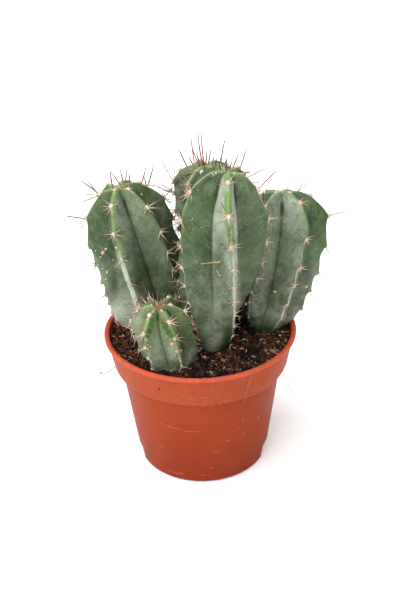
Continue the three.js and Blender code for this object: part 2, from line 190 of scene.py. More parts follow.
# %% Material helpers
class Finish:
    """A material whose nodes are added by short calls."""

    def __init__(self, name):
        self.material = bpy.data.materials.new(name)
        self.material.use_nodes = True
        self.tree = self.material.node_tree
        self.shader = self.tree.nodes["Principled BSDF"]
        self.coordinates = self.tree.nodes.new("ShaderNodeTexCoord")

    def add(self, kind, settings=None, **sockets):
        made = self.tree.nodes.new(kind)
        for key, value in (settings or {}).items():
            setattr(made, key, value)
        for key, value in sockets.items():
            self.feed(made.inputs[key.replace("_", " ")], value)
        return made

    def feed(self, socket, value):
        if isinstance(value, bpy.types.NodeSocket):
            self.tree.links.new(value, socket)
        else:
            socket.default_value = value

    def mask(self, name):
        return self.add("ShaderNodeAttribute", {"attribute_name": name}).outputs["Fac"]

    def scaled(self, scale, source="Object", turn=(0, 0, 0)):
        """Coordinates turned, and then scaled along each axis."""
        place = self.coordinates.outputs[source]
        turned = self.add("ShaderNodeMapping", Vector=place, Rotation=turn).outputs["Vector"]
        return self.add("ShaderNodeMapping", Vector=turned, Scale=scale).outputs["Vector"]

    def noise(self, scale, detail=3.0, roughness=0.55, vector=None, distortion=0.0):
        place = self.coordinates.outputs["Object"] if vector is None else vector
        return self.add("ShaderNodeTexNoise", Vector=place, Scale=scale, Detail=detail, Roughness=roughness,
                        Distortion=distortion).outputs["Fac"]

    def cells(self, scale):
        place = self.coordinates.outputs["Object"]
        return self.add("ShaderNodeTexVoronoi", Vector=place, Scale=scale).outputs["Distance"]

    def ramp(self, value, low, high, out_low=0.0, out_high=1.0, kind="SMOOTHSTEP"):
        made = self.add("ShaderNodeMapRange", {"interpolation_type": kind})
        self.feed(made.inputs["Value"], value)
        for key, number in zip(("From Min", "From Max", "To Min", "To Max"),
                               (low, high, out_low, out_high)):
            self.feed(made.inputs[key], number)
        return made.outputs["Result"]

    def maths(self, operation, a, b=0.0):
        made = self.add("ShaderNodeMath", {"operation": operation})
        self.feed(made.inputs[0], a)
        self.feed(made.inputs[1], b)
        return made.outputs["Value"]

    def plus(self, a, b):
        return self.maths("ADD", a, b)

    def times(self, *values):
        result = values[0]
        for value in values[1:]:
            result = self.maths("MULTIPLY", result, value)
        return result

    def mix(self, share, first, second):
        made = self.add("ShaderNodeMix", {"data_type": "RGBA"}, Factor=share)
        for socket, value in zip([s for s in made.inputs if s.type == "RGBA"], (first, second)):
            self.feed(socket, value)
        return [s for s in made.outputs if s.type == "RGBA"][0]

    def coats(self, colour, *coats):
        """One colour laid over the last, each by its share."""
        for share, shade in coats:
            colour = self.mix(share, colour, shade)
        return colour

    def bump(self, height, distance, strength=1.0, under=None):
        made = self.add("ShaderNodeBump", Height=height, Distance=distance, Strength=strength)
        if under is not None:
            self.feed(made.inputs["Normal"], under)
        return made.outputs["Normal"]

    def finish(self, colour, roughness, normal=None, **constants):
        if normal is not None:
            constants["Normal"] = normal
        for key, value in dict(Base_Color=colour, Roughness=roughness, **constants).items():
            self.feed(self.shader.inputs[key.replace("_", " ")], value)
        return self.material


LIGHT_GAIN = 1.44
SCREEN_WHITE = 255


def paint(red, green, blue):
    """A colour as it is seen on a screen, 0 to 255, turned into linear light
    by the sRGB curve, and divided by how much brighter the studio is than a
    white card needs."""
    seen = np.array([red, green, blue]) / SCREEN_WHITE
    light = np.where(seen <= 0.04045, seen / 12.92, ((seen + 0.055) / 1.055) ** 2.4)
    return (*(light / LIGHT_GAIN).tolist(), 1.0)

# %% [markdown]
# The stems. Each is one formula: an axis that leans and bends, a crest radius
# that swells from the foot and closes in a dome, and five or six ribs that
# twist on the way up. The same numbers shape the solid stems, so the skins
# lie on them. Heights, called w, are measured from the ground, which is the
# top of the peat. Lengths are in millimetres, and turns in degrees.

# %% The five stems
GROUND = 86.0
ROOT_DEPTH = 11.0
CREST_HALF_WIDTH = 1.9
TOOTH = 0.6
WIDEST_SPACING = 16.5

# In a stem, groove and foot_shares are shares of the crest radius. By rib,
# seen holds the heights of areoles that the photograph shows, and first that
# of the highest one where they are ruled. Rows of numbers go round the ribs.
STEMS = {
    "stem_left": dict(
        x=-27.1, y=16.9, ribs=6, lean=(-0.2125, -0.003), bend=(0.0001, -0.0002), height=94.6, dome=28.5,
        foot=16, full=26.8, full_at=18, swell=1, groove=0.514, waist=12, turn=24.2, twist=-9.3, pit=2,
        first={1: 87, 2: 92.5}, spacing=(5.5, 0.15), areoles=9,
        seen={3: (91.6, 80.2, 62.9, 50.5, 38.3, 29.8, 23.6, 17.6, 11),
              4: (94, 88.7, 75.3, 59.4, 43, 30.9, 20, 12),
              5: (92.8, 82.9, 67.6, 53.3, 41.4, 27.1, 17, 9),
              0: (91.5, 77.3, 63.2, 46, 34, 23, 13)},
        bite=1.25,
    ),
    "stem_centre": dict(
        x=6.6, y=-13, ribs=5, lean=(0.069, -0.02), bend=(0.0003, -0.0001), height=114.7, dome=33.4,
        foot=11.1, full=26.2, full_at=76.5, swell=1.06, groove=0.487, waist=0, turn=23.7, twist=-46.1,
        pit=2.7, first={2: 104.5}, spacing=(5.6, 0.12), areoles=11,
        seen={3: (101.5, 86.2, 71.7, 59.1, 48.1, 37.6, 28, 20, 12, 5),
              4: (110.9, 96.5, 79.9, 65.3, 52.9, 42.4, 31.9, 22.5, 14, 6.5, 0.5),
              0: (105.9, 88.6, 72.5, 57.6, 45.3, 35, 25, 15, 7),
              1: (113, 106.6, 95, 81, 67, 54, 42, 31, 21, 12)},
        skew=(0, 0, 8, 0, 0), groove_shift=(0, 0, 0, 0, -7), foot_shares=(0.85, 0.85, 0.85, 1.12, 0.75),
        foot_top=40, tuck=13, foot_turn=7, flare=(-5, 0, 0, 0, 0), flare_top=42,
    ),
    "stem_back": dict(
        x=8.2, y=35.5, ribs=6, lean=(0.005, 0.04), bend=(-0.0002, 0), height=97.3, dome=11.5,
        foot=12.5, full=21.1, full_at=90, swell=1.15, groove=0.47, waist=8, turn=-4, twist=-2, pit=2.5,
        first={0: 95, 1: 91, 2: 96, 4: 90, 5: 96}, spacing=(6.5, 0.13), areoles=9,
        seen={3: (93, 85.5, 78, 66, 54, 43, 33, 24)},
    ),
    "stem_right": dict(
        x=39.8, y=7.4, ribs=6, lean=(0.276, 0.048), bend=(-0.0017, 0.001), height=86.5, dome=21.4,
        foot=13.5, full=29.5, full_at=78.8, swell=1.07, groove=0.481, waist=16.5, turn=-15, twist=14.8,
        pit=1.5, first={1: 80, 2: 83.5, 3: 81}, spacing=(7.5, 0.13), areoles=8,
        seen={5: (85.5, 81.3, 63.8, 47.3, 36.7, 24.5, 14.1),
              0: (82.3, 70.9, 54.7, 38.8, 28.1, 16.5),
              4: (86, 80.2, 64, 49, 37, 28, 20, 9.1)},
        foot_shares=(1,) * 6, foot_top=26, flare=(0, 0, 0, 0, 0, 2), bite=1.5,
    ),
    "stem_small": dict(
        x=-16.7, y=-31, ribs=6, lean=(-0.29, -0.063), bend=(0.0029, -0.001), height=40.6, dome=13.6,
        foot=17.3, full=17.3, full_at=22, swell=1, groove=0.6, waist=8, turn=-5.9, twist=3.5, pit=2.4,
        first={1: 37.8, 2: 37}, spacing=(4.6, 0.13), areoles=6,
        seen={5: (35.9, 26.5, 17, 9.9, 4.6),
              4: (38.7, 31.4, 22.3, 14.9, 7),
              3: (37, 30.4, 24.5, 19.8, 10.5, 4),
              0: (39.4, 34.1, 26.1, 20.1, 13.9, 8.1, 2.7)},
    ),
}
for name, stem in STEMS.items():
    print(name, "stands", stem["height"], "mm above the peat")

# %% Axis and crest
RISE_START = -12.0
WAIST_FADE, WAIST_PINCH = 16.0, 0.4
PIT_REACH = 0.4
FOOT_TURN_TOP = 45.0


def axis_point(stem, w):
    """Foot plus lean times height plus bend times height squared."""
    w = np.asarray(w, float)
    x = stem["x"] + stem["lean"][0] * w + stem["bend"][0] * w * w
    y = stem["y"] + stem["lean"][1] * w + stem["bend"][1] * w * w
    return np.stack([x, y, GROUND + w], -1)


def axis_frame(stem, w):
    """Unit vectors along the axis, across it near +X, and to its side."""
    w = np.asarray(w, float)
    slope = [stem["lean"][i] + 2 * stem["bend"][i] * w for i in (0, 1)]
    along = np.stack([*slope, np.ones_like(w)], -1)
    along /= np.linalg.norm(along, axis=-1, keepdims=True)
    across = np.array([1.0, 0, 0]) - along * along[..., :1]
    across /= np.linalg.norm(across, axis=-1, keepdims=True)
    return across, np.cross(along, across), along


def dome_share(stem, w):
    """0 below the dome, rising evenly to 1 at the tip."""
    return np.clip((w - stem["height"] + stem["dome"]) / stem["dome"], 0, 1)


def crest_radius(stem, w):
    """A quarter sine from the foot to the full radius, drawn in below the
    waist, times the quarter ellipse of the dome."""
    rise = np.clip((w - RISE_START) / (stem["full_at"] - RISE_START), 0, 1)
    body = stem["foot"] + (stem["full"] - stem["foot"]) * np.sin(np.pi / 2 * rise) ** stem["swell"]
    pinch = np.clip((stem["waist"] - w) / WAIST_FADE, 0, 1)
    return body * (1 - WAIST_PINCH * pinch**2) * np.sqrt(1 - dome_share(stem, w) ** 2)


def rib_turns(stem):
    """Degrees round the axis of each crest, and of the groove after it. Ribs
    are evenly spaced but for a small skew, and a groove lies halfway between
    two crests but for a small shift."""
    none = np.zeros(stem["ribs"])
    crests = 360 / stem["ribs"] * np.arange(stem["ribs"]) + stem.get("skew", none)
    following = np.append(crests[1:], crests[0] + 360)
    return crests, (crests + following) / 2 + stem.get("groove_shift", none)


def crest_angle(stem, rib, w):
    """The turn of a rib, which twists evenly with height, and on some stems
    a little more at the foot."""
    crests, _ = rib_turns(stem)
    foot_turn = stem.get("foot_turn", 0) * smoothstep(FOOT_TURN_TOP, 0, np.asarray(w, float))
    return np.radians(stem["turn"] + stem["twist"] * w / stem["height"] + crests[rib] + foot_turn)


def surface_point(stem, w, radius, angle):
    """A point at a radius and an angle round the axis. Near the tip the
    surface sinks by the pit's depth."""
    near = np.clip(1 - radius / (PIT_REACH * stem["full"]), 0, 1)
    sunk = w - stem["pit"] * near * near * dome_share(stem, w)
    across, side, _ = axis_frame(stem, w)
    offset = np.cos(angle)[..., None] * across + np.sin(angle)[..., None] * side
    return axis_point(stem, sunk) + radius[..., None] * offset

# %% [markdown]
# Areoles are the woolly buds that the spines grow from. They sit in a row
# down every crest, close together at the foot and wider apart higher up, and
# the crest stands out a little at each, like a blunt saw.

# %% Areole heights and teeth
PATH_STEPS = 2000
LAST_AREOLE = 4.0
LEAST_HEIGHT = 1.0
ABOVE_TIP = 6.0
TOOTH_LEAN = 0.63
FULL_TOOTH_RADIUS = 10.0


def areole_heights(stem, rib):
    """Heights of the areoles of a rib, from the top. Where the photograph
    shows them they are listed, and elsewhere the gap between two shrinks as
    the crest goes down, by the spacing's least value and growth."""
    if rib in stem["seen"]:
        return np.array(stem["seen"][rib], float)
    least, growth = stem["spacing"]
    fine = np.linspace(stem["height"] - 0.05, -ROOT_DEPTH, PATH_STEPS)
    path = np.concatenate([[0], np.cumsum(np.hypot(np.diff(fine), np.diff(crest_radius(stem, fine))))])
    heights = [stem["first"][rib]]
    while len(heights) < stem["areoles"] and heights[-1] > LAST_AREOLE:
        gap = min((least + growth * heights[-1]) / (1 + growth / 2), WIDEST_SPACING)
        reached = np.interp(heights[-1], fine[::-1], path[::-1]) + gap
        heights.append(float(np.interp(reached, path, fine)))
    return np.array([w for w in heights if w > LEAST_HEIGHT])


def areole_phase(stem, rib, w):
    """How far a height is on its way down from one areole, at 0, to the next,
    at 1, and the gap between the two."""
    heights = areole_heights(stem, rib)
    heights = np.concatenate([[stem["height"] + ABOVE_TIP], heights, [heights[-1] - stem["spacing"][0]]])
    falling = heights[::-1]
    index = np.clip(np.searchsorted(falling, w) - 1, 0, len(falling) - 2)
    low, high = falling[index], falling[index + 1]
    return np.clip((high - w) / (high - low), 0, 1), high - low


def tooth_shape(phase):
    """How far the crest stands out: fully at each areole and least a third of
    the way down to the next one, as a sine of the phase to a power under 1."""
    return 1 - 2 * np.sin(np.pi * phase**TOOTH_LEAN)


def crest_frame(stem, rib, w):
    """Place of a crest point, and unit vectors out of the rib, up along it
    and to its side."""
    w = np.asarray(w, float)

    def crest(height):
        radius = crest_radius(stem, height)
        return surface_point(stem, height, radius, crest_angle(stem, rib, height))

    place = crest(w)
    up = crest(np.minimum(w + 0.5, stem["height"] - 0.3)) - crest(w - 1)
    up /= np.linalg.norm(up, axis=-1, keepdims=True)
    outward = place - axis_point(stem, w - 0.2 * crest_radius(stem, w))
    outward -= up * (outward * up).sum(-1, keepdims=True)
    outward /= np.linalg.norm(outward, axis=-1, keepdims=True)
    reach = TOOTH * np.minimum(1, crest_radius(stem, w) / FULL_TOOTH_RADIUS)
    return place + outward * reach[..., None], outward, up, np.cross(up, outward)

# %% [markdown]
# The skin. On a section through a stem each rib is a rounded crest with two
# flanks that run down to a sharp groove. The crest is a hyperbola, which is
# round at its point and straight further out, and the flanks swell a little,
# so that neighbours meet in a crease. At the foot the grooves fill out. The
# grid has 24 columns a rib, closer together at the crest and at the groove.

# %% Skin surface
HALF_RIB = np.array([0, 0.06, 0.13, 0.21, 0.3, 0.41, 0.53, 0.65, 0.76, 0.85, 0.92, 0.97, 1.0])
ROW_STEP = 0.9
DOME_ROWS, DOME_ARC = 46, 0.49 * np.pi
FLANK_SWELL = 0.055
FOOT_SHARE = 0.85
FOOT_TOP = 11.0
NECK_HEIGHT, NECK_WIDTH, NECK_DEPTH = 0.9, 0.06, 0.15
TUCK_FADE, TUCK_DEPTH = 15.0, 0.35
FLARE_TOP, FLARE_LOW = 20.0, 2.0
STEEPEST_ROUND = 0.8
USUAL_GAP = 11.0


def skin_rows(stem):
    """Even rows up the body, then rows that follow the dome's arc."""
    shoulder = stem["height"] - stem["dome"]
    body = np.arange(-ROOT_DEPTH, shoulder, ROW_STEP)
    arc = np.sin(np.linspace(0, DOME_ARC, DOME_ROWS))
    return np.concatenate([body, shoulder + stem["dome"] * arc])


def groove_share(stem, w, foot_share):
    """The groove's share of the radius, rising to a round foot, and pinched
    deeper at the neck, just below the tip."""
    fill = smoothstep(stem.get("foot_top", FOOT_TOP), 0, w)
    neck = np.exp(-(((w / stem["height"] - NECK_HEIGHT) / NECK_WIDTH) ** 2))
    return (stem["groove"] + (foot_share - stem["groove"]) * fill) * (1 - NECK_DEPTH * neck)


def round_ribs(values):
    """Numbers given rib by rib, set along the middle direction of the grid."""
    return np.array(values, float)[None, :, None]


def flank_ends(stem, w, flank):
    """Radius of the crest, and the groove's offset along and across the rib's
    middle line, for each flank of each rib. Before the crest a flank ends in
    the groove of the rib before."""
    none = np.zeros(stem["ribs"])
    tucked = 1 - TUCK_DEPTH * np.clip((stem.get("tuck", -ROOT_DEPTH) - w) / TUCK_FADE, 0, 1) ** 2
    flare = round_ribs(stem.get("flare", none)) * smoothstep(stem.get("flare_top", FLARE_TOP), FLARE_LOW, w)
    feet = round_ribs(stem.get("foot_shares", none + FOOT_SHARE))
    foot_share = np.where(flank < 0, np.roll(feet, 1, axis=1), feet)
    crests, grooves = rib_turns(stem)
    before = np.append(grooves[-1] - 360, grooves[:-1])
    span = np.radians(np.where(flank < 0, round_ribs(crests - before), round_ribs(grooves - crests)))
    groove = groove_share(stem, w, foot_share) * crest_radius(stem, w) * tucked
    return crest_radius(stem, w) * tucked + flare, groove * np.cos(span), groove * np.sin(span)

# %% Grid of a skin
def skin_grid(stem):
    """Height, radius and angle of every grid point, with its distance from
    the crest, side of the rib, rib, phase and share of the way to the groove.
    On a section, x runs out along the rib's middle line and y across it."""
    w = skin_rows(stem)[:, None, None]
    rib = np.arange(stem["ribs"])[None, :, None]
    flank = np.concatenate([-HALF_RIB[:0:-1], HALF_RIB[:-1]])[None, None, :]
    share = np.abs(flank)
    crest, groove_x, groove_y = flank_ends(stem, w, flank)
    half = np.minimum(CREST_HALF_WIDTH, 0.3 * crest)
    slope = (crest - STEEPEST_ROUND * half - groove_x) / np.maximum(groove_y - half, 0.3 * half)
    round_off = np.maximum(slope - STEEPEST_ROUND, 0.15) * half
    y = share * groove_y

    def fallen(across):
        """The hyperbola's drop from the crest."""
        return np.sqrt(round_off**2 + (slope * across) ** 2) - round_off

    x = crest - fallen(y)
    x = x + (groove_x - crest + fallen(groove_y)) * share
    swell = FLANK_SWELL * crest * 4 * share * (1 - share)
    lean = np.hypot(groove_y, crest - groove_x)
    x = x + swell * groove_y / lean
    y = y + swell * (crest - groove_x) / lean
    ways = [areole_phase(stem, r, w[:, 0, 0]) for r in range(stem["ribs"])]
    phase, gap = (np.stack([way[i] for way in ways], 1)[:, :, None] for i in (0, 1))
    bite = stem.get("bite", 1.0) * np.clip(gap / USUAL_GAP, 0.6, 1.4)
    tooth = TOOTH * bite * np.minimum(1, crest / FULL_TOOTH_RADIUS)
    x = x + tooth * tooth_shape(phase) * (1 - share) ** 3
    radius = np.hypot(x, y)
    angle = crest_angle(stem, rib, w) + np.sign(flank) * np.arctan2(y, x)
    away = share * lean
    shape = radius.shape
    parts = (w, radius, angle, away, np.sign(flank), rib, phase, share)
    return [np.broadcast_to(a, shape).reshape(shape[0], -1) for a in parts]

# %% [markdown]
# What colours the skin is worked out here as masks. Near the tip the crests
# are a thin line of fresh yellow-green, and beside some crests runs a fresh
# strip down to each areole. Lower still the crest is a pale worn line. The
# oldest skin at the foot is grey, and a whitish bloom lies on some faces of
# the ribs and in a band beside some crests. A mask called lead is the distance
# from the crest in millimetres, positive on the side of the strip, so that
# the material can draw sharp lines along the crest.

# %% Skin masks
STRIP_SIDE = {
    # rib: the side of the crest on which fresh strips lie, 1 where nothing is said
    "stem_left": {5: -1, 0: -1}, "stem_centre": {3: -1, 4: -1}, "stem_right": {5: -1}, "stem_small": {5: -1},
}
FRESH_STRIPS = {
    # rib: strength, width in mm, lowest share of the height, and mm by which it laps over the crest
    "stem_left": {4: (0.85, 4.0, 0.5, 0), 5: (0.9, 2.8, 0.5, 0.3)},
    "stem_centre": {4: (1.0, 9.0, 0.6, 4.4)},
    "stem_right": {5: (0.8, 2.4, 0.5, 0)},
    "stem_small": {4: (0.8, 2.8, 0.4, 0.5), 5: (0.8, 2.8, 0.4, 0.5)},
}
USUAL_STRIP = (0.25, 2.4, 0.5, 0)
BLOOM_FACES = {
    # rib, side of the rib: how strong its bloom is low down and high up
    "stem_left": {(3, 1): (0.5, 0.02), (4, -1): (0.6, 0.02), (4, 1): (0.05, 0.35), (5, -1): (0.0, 0.3),
                  (5, 1): (0.2, 0.05), (0, -1): (0.2, 0.05)},
    "stem_centre": {(3, 1): (0.25, 0.04), (4, -1): (0.35, 1.0), (4, 1): (0.95, 1.0), (0, -1): (0.15, 0.06)},
    "stem_back": {(3, -1): (0.3, 0.25), (3, 1): (0.3, 0.25), (4, -1): (0.3, 0.25)},
    "stem_right": {(4, 1): (0.35, 0.35), (5, -1): (0.3, 0.5), (5, 1): (0.4, 0.0), (0, -1): (0.4, 0.0)},
    "stem_small": {(3, 1): (0.75, 0.35), (4, 1): (0.45, 0.1), (5, -1): (0.4, 0.15), (5, 1): (0.5, 0.3)},
}
USUAL_BLOOM = 0.08
BLOOM_BANDS = {
    # rib: width in mm, lowest and highest share of the height, and how fast it widens downwards
    "stem_left": {4: (9.5, -0.2, 0.6, 1.6)}, "stem_centre": {4: (2.6, 0.2, 0.93, 0.7)},
    "stem_right": {5: (1.0, 0.1, 0.6, 0.7)}, "stem_small": {5: (0.9, 0.2, 0.8, 0.7)},
}
# Rib: how strong the worn line of its crest is, 1 where nothing is said
WORN_CRESTS = {"stem_centre": {3: 0.35, 0: 0.5}, "stem_small": {4: 0.5, 5: 0.5}}
# Rib: height at which the painted shade in the groove before it fades out, on the way down
FADED_GROOVES = {"stem_centre": {4: 34}, "stem_right": {5: 6}}
# Share of the height below which the skin is old, and how yellow the flesh is
OLD_SKIN = {"stem_left": 0.5, "stem_centre": 0.46, "stem_back": 0.4, "stem_right": 0.56, "stem_small": 0.4}
SAPPY = {"stem_small": 0.28, "stem_back": 0.12}
# Pixel, radii across and down in pixels, and strength, pale above 0 and dark below: the pale patches are
# bloom, and on faces that catch the light they are painted light too, and the dark ones are painted shade
BLOOM_AND_SHADE_PATCHES = {
    "stem_left": (
        (128, 318, 15, 18, 2.4), (119.5, 262, 4, 14, 0.6), (114, 284, 5, 15, -0.9),
        (152, 250, 11, 26, -0.4), (161, 213, 9, 22, 0.28), (138, 283, 4, 16, -0.2),
        (152, 286, 10, 12, 0.18), (103, 218, 8, 12, -0.25),
    ),
    "stem_centre": (
        (219, 262, 8, 20, -0.75), (216, 301, 5, 13, 0.35), (237, 288, 4, 26, 0.75), (236, 225, 4, 34, 0.4),
        (212, 351, 12, 5, 0.55), (229, 334, 8, 15, -0.9), (250, 242, 12, 20, -0.45),
        (245, 280, 12, 16, -0.4), (201, 330, 7, 24, -0.45), (197, 240, 10, 16, -0.3),
        (203, 341, 5, 7, -0.45), (223, 351, 7, 6, -0.6), (251, 203, 8, 14, 0.08), (226, 344, 5, 8, -0.4),
    ),
    "stem_right": (
        (292, 213, 8, 14, 0.25), (285, 290, 10, 18, -0.25), (268, 328, 18, 9, -0.75),
        (308, 272, 6, 16, -0.5),
    ),
    "stem_small": (
        (139, 326, 5, 10, 0.25), (158, 345, 6, 13, 0.4), (172, 352, 4, 12, 0.3), (162, 366, 14, 5, -0.3),
        (184, 352, 5, 14, -0.5), (186, 329, 6, 12, -0.5), (143, 345, 3, 16, -0.3), (175, 315, 4, 5, -0.4),
    ),
    "stem_back": (
        (180, 203, 5, 10, 0.75), (186, 185, 4, 8, 0.2), (199, 163, 2, 4, -0.9), (214.5, 163, 2, 4, -0.9),
        (226, 164, 3, 3, -0.6), (188, 175, 3.5, 2.5, -0.9), (176.5, 181, 3, 3.5, -0.7),
        (182, 184.5, 2.5, 2, 0.5), (177, 190, 2, 3, 0.45), (205, 167, 4, 2, -0.7), (216, 168.5, 3, 2, -0.6),
        (183, 197, 3, 6, -0.4),
    ),
}
# Pixel and radius in pixels of bare green spots
RUBBED_SPOTS = {
    "stem_small": (
        (152.5, 320.5, 1.8), (151.5, 325, 2.6), (149.5, 331, 2.4), (148, 336, 1.6), (163.5, 322.5, 1.8),
        (165.5, 327, 2.6), (168.5, 332, 2.8), (171.5, 336, 2.2), (175, 340, 1.4),
    ),
    "stem_centre": ((229, 230, 1.3), (229.5, 235, 1.6), (230.3, 240.5, 1.4), (228.3, 214, 0.9)),
    "stem_right": ((291.5, 294, 2.0), (289.5, 300, 1.8), (303, 262, 1.5)),
}

# %% Masks from tables and from the picture
SPOT_FULL, SPOT_GONE = 0.85, 1.4
BLOTCH_SIZE, SPECK_SIZE = 22, 6
FURTHEST_LEAD = 16


def near_pixels(points, spots):
    """1 at the middle of each spot of the picture and 0 beyond its radius."""
    pixels, _ = seen_at(points * MM)
    inside = [np.zeros(points.shape[:-1])]
    for x, y, radius in spots:
        off = np.hypot(pixels[..., 0] - x, pixels[..., 1] - y)
        inside.append(smoothstep(radius * SPOT_GONE, radius * SPOT_FULL, off))
    return np.max(inside, axis=0)


def painted_bloom_and_shade(name, points):
    """The sum of a stem's patches of bloom, painted light and painted shade, each a bell curve in the
    picture.
    """
    pixels, _ = seen_at(points * MM)
    shade = np.zeros(points.shape[:-1])
    for x, y, across, down, strength in BLOOM_AND_SHADE_PATCHES[name]:
        off = ((pixels[..., 0] - x) / across) ** 2 + ((pixels[..., 1] - y) / down) ** 2
        shade += strength * np.exp(-off)
    return shade


def shown_half(stem, points, w):
    """1 on the half of a stem that the photograph shows, where its marks belong,
    and 0 on the far half."""
    outward = (points - axis_point(stem, w))[..., :2]
    outward = outward / np.maximum(np.linalg.norm(outward, axis=-1, keepdims=True), 1e-6)
    return smoothstep(0.5, 0.15, outward @ forward[:2] / np.linalg.norm(forward[:2]))


def by_rib(name, table, rib, default):
    """The value that a table gives each rib of a stem."""
    row = table.get(name, {})
    values = np.array([row.get(r, default) for r in range(STEMS[name]["ribs"])], float)
    return values[rib.astype(int)]

# %% Masks of strips, bloom and creases
def strip_masks(name, rib, phase, rise, wander):
    """Strength, width and lap of the fresh strips, which fade round the
    areoles and end part of the way down."""
    strength, width, lowest, lap = np.moveaxis(by_rib(name, FRESH_STRIPS, rib, USUAL_STRIP), -1, 0)
    strength = strength * (smoothstep(0.12, 0.32, phase) * smoothstep(1.0, 0.93, phase))
    strength = strength * smoothstep(lowest, lowest + 0.1, wander)
    return dict(strip=strength, strip_width=width * (0.7 + 0.3 * smoothstep(0.62, 0.85, rise)), lap=lap)


def bloom_masks(name, rib, side, away, rise, blotch, speck):
    """Bloom on whole faces of ribs, and the width of its bands."""
    bloom = np.full(rise.shape, USUAL_BLOOM)
    for (its_rib, its_side), (low, high) in BLOOM_FACES[name].items():
        strength = low + (high - low) * smoothstep(0.3, 0.68, rise)
        bloom = np.where((rib == its_rib) & (side * its_side > 0), strength, bloom)
    bloom = bloom * smoothstep(0.2, 1.6, away) * (0.85 + 0.25 * blotch)
    band = np.zeros(rise.shape)
    for its_rib, (width, low, high, growth) in BLOOM_BANDS.get(name, {}).items():
        reach = smoothstep(low - 0.05, low + 0.12, rise) * smoothstep(high + 0.06, high - 0.1, rise)
        band = np.where(rib == its_rib, width * reach * (1 + growth * (0.5 - rise) + 0.12 * speck), band)
    return dict(bloom=np.clip(bloom, 0, 1), band=band)


def groove_shade_line(name, stem, w, rise, rib, side, share):
    """Painted shade in the grooves: a thin line in each groove, which fades out low on some stems, and a
    wider one at the neck."""
    fade = by_rib(name, FADED_GROOVES, (rib + (side >= 0)) % stem["ribs"], 0)
    line = smoothstep(0.955, 1.0, share) * smoothstep(np.maximum(fade - 14, 0), fade + 8, w)
    neck = smoothstep(0.86, 1.0, share) * smoothstep(0.82, 0.88, rise) * smoothstep(0.96, 0.92, rise)
    return np.maximum(line, neck)

# %% All the masks of a skin
def skin_masks(name, stem, points, w, away, side, rib, phase, share):
    """Masks at every point: lead, band, strip_width and lap in mm, shade from
    -1 to 1 or so, and the others from 0 to 1."""
    rise = w / stem["height"]
    blotch, speck = waves(points, BLOTCH_SIZE, 5), waves(points, SPECK_SIZE, 6, 24)
    wander = rise + 0.05 * blotch
    sided = by_rib(name, STRIP_SIDE, rib, 1.0)
    front = shown_half(stem, points, w)
    masks = strip_masks(name, rib, phase, rise, wander)
    masks.update(bloom_masks(name, rib, side, away, rise, blotch, speck))
    worn = smoothstep(0.78, 0.5, wander) * smoothstep(0.0, 0.2, wander) * (0.8 + 0.2 * speck)
    limit = OLD_SKIN[name]
    masks.update(
        lead=np.clip(side * sided * away, -FURTHEST_LEAD, FURTHEST_LEAD),
        tip=smoothstep(0.6, 0.85, wander) * (1 - 0.7 * masks["strip"]),
        worn=np.clip(worn * by_rib(name, WORN_CRESTS, rib, 1.0), 0, 1),
        old=smoothstep(limit + 0.08, limit - 0.4, rise + 0.08 * blotch + 0.03 * speck),
        crease=groove_shade_line(name, stem, w, rise, rib, side, share),
        crown=smoothstep(0.975, 1.0, rise),
        rubbed=near_pixels(points, RUBBED_SPOTS.get(name, ())) * (side * sided >= 0) * front,
        shade=painted_bloom_and_shade(name, points) * front,
        sappy=SAPPY.get(name, 0.0) * smoothstep(0.1, 0.8, wander),
    )
    return masks

# %% [markdown]
# Skin finish. The living skin is a dark olive green under a thin grey wax.
# Fine paler lines run from the groove up and out to the crest, like the barbs
# of a feather, so the noise that makes them is stretched along a slant in the
# UV map, whose U is the distance from the crest and V the height.

# %% Skin material
DEEP_GREEN = paint(39, 64, 22)
LEAF_GREEN = paint(74, 98, 46)
WAXED_GREEN = paint(118, 142, 102)
FRESH_GREEN = paint(112, 144, 72)
BARE_GREEN = paint(46, 84, 4)
TIP_GREEN = paint(164, 192, 126)
SAP_GREEN = paint(132, 148, 66)
CORK_GREY = paint(134, 136, 120)
CORK_DARK = paint(72, 78, 62)
WORN_PALE = paint(204, 204, 180)
BLOOM_WHITE = paint(198, 208, 188)
# Near-black green: painted shade in the grooves, and dark streaks and specks in the skin
SHADE_AND_MARK_GREEN = paint(24, 36, 22)


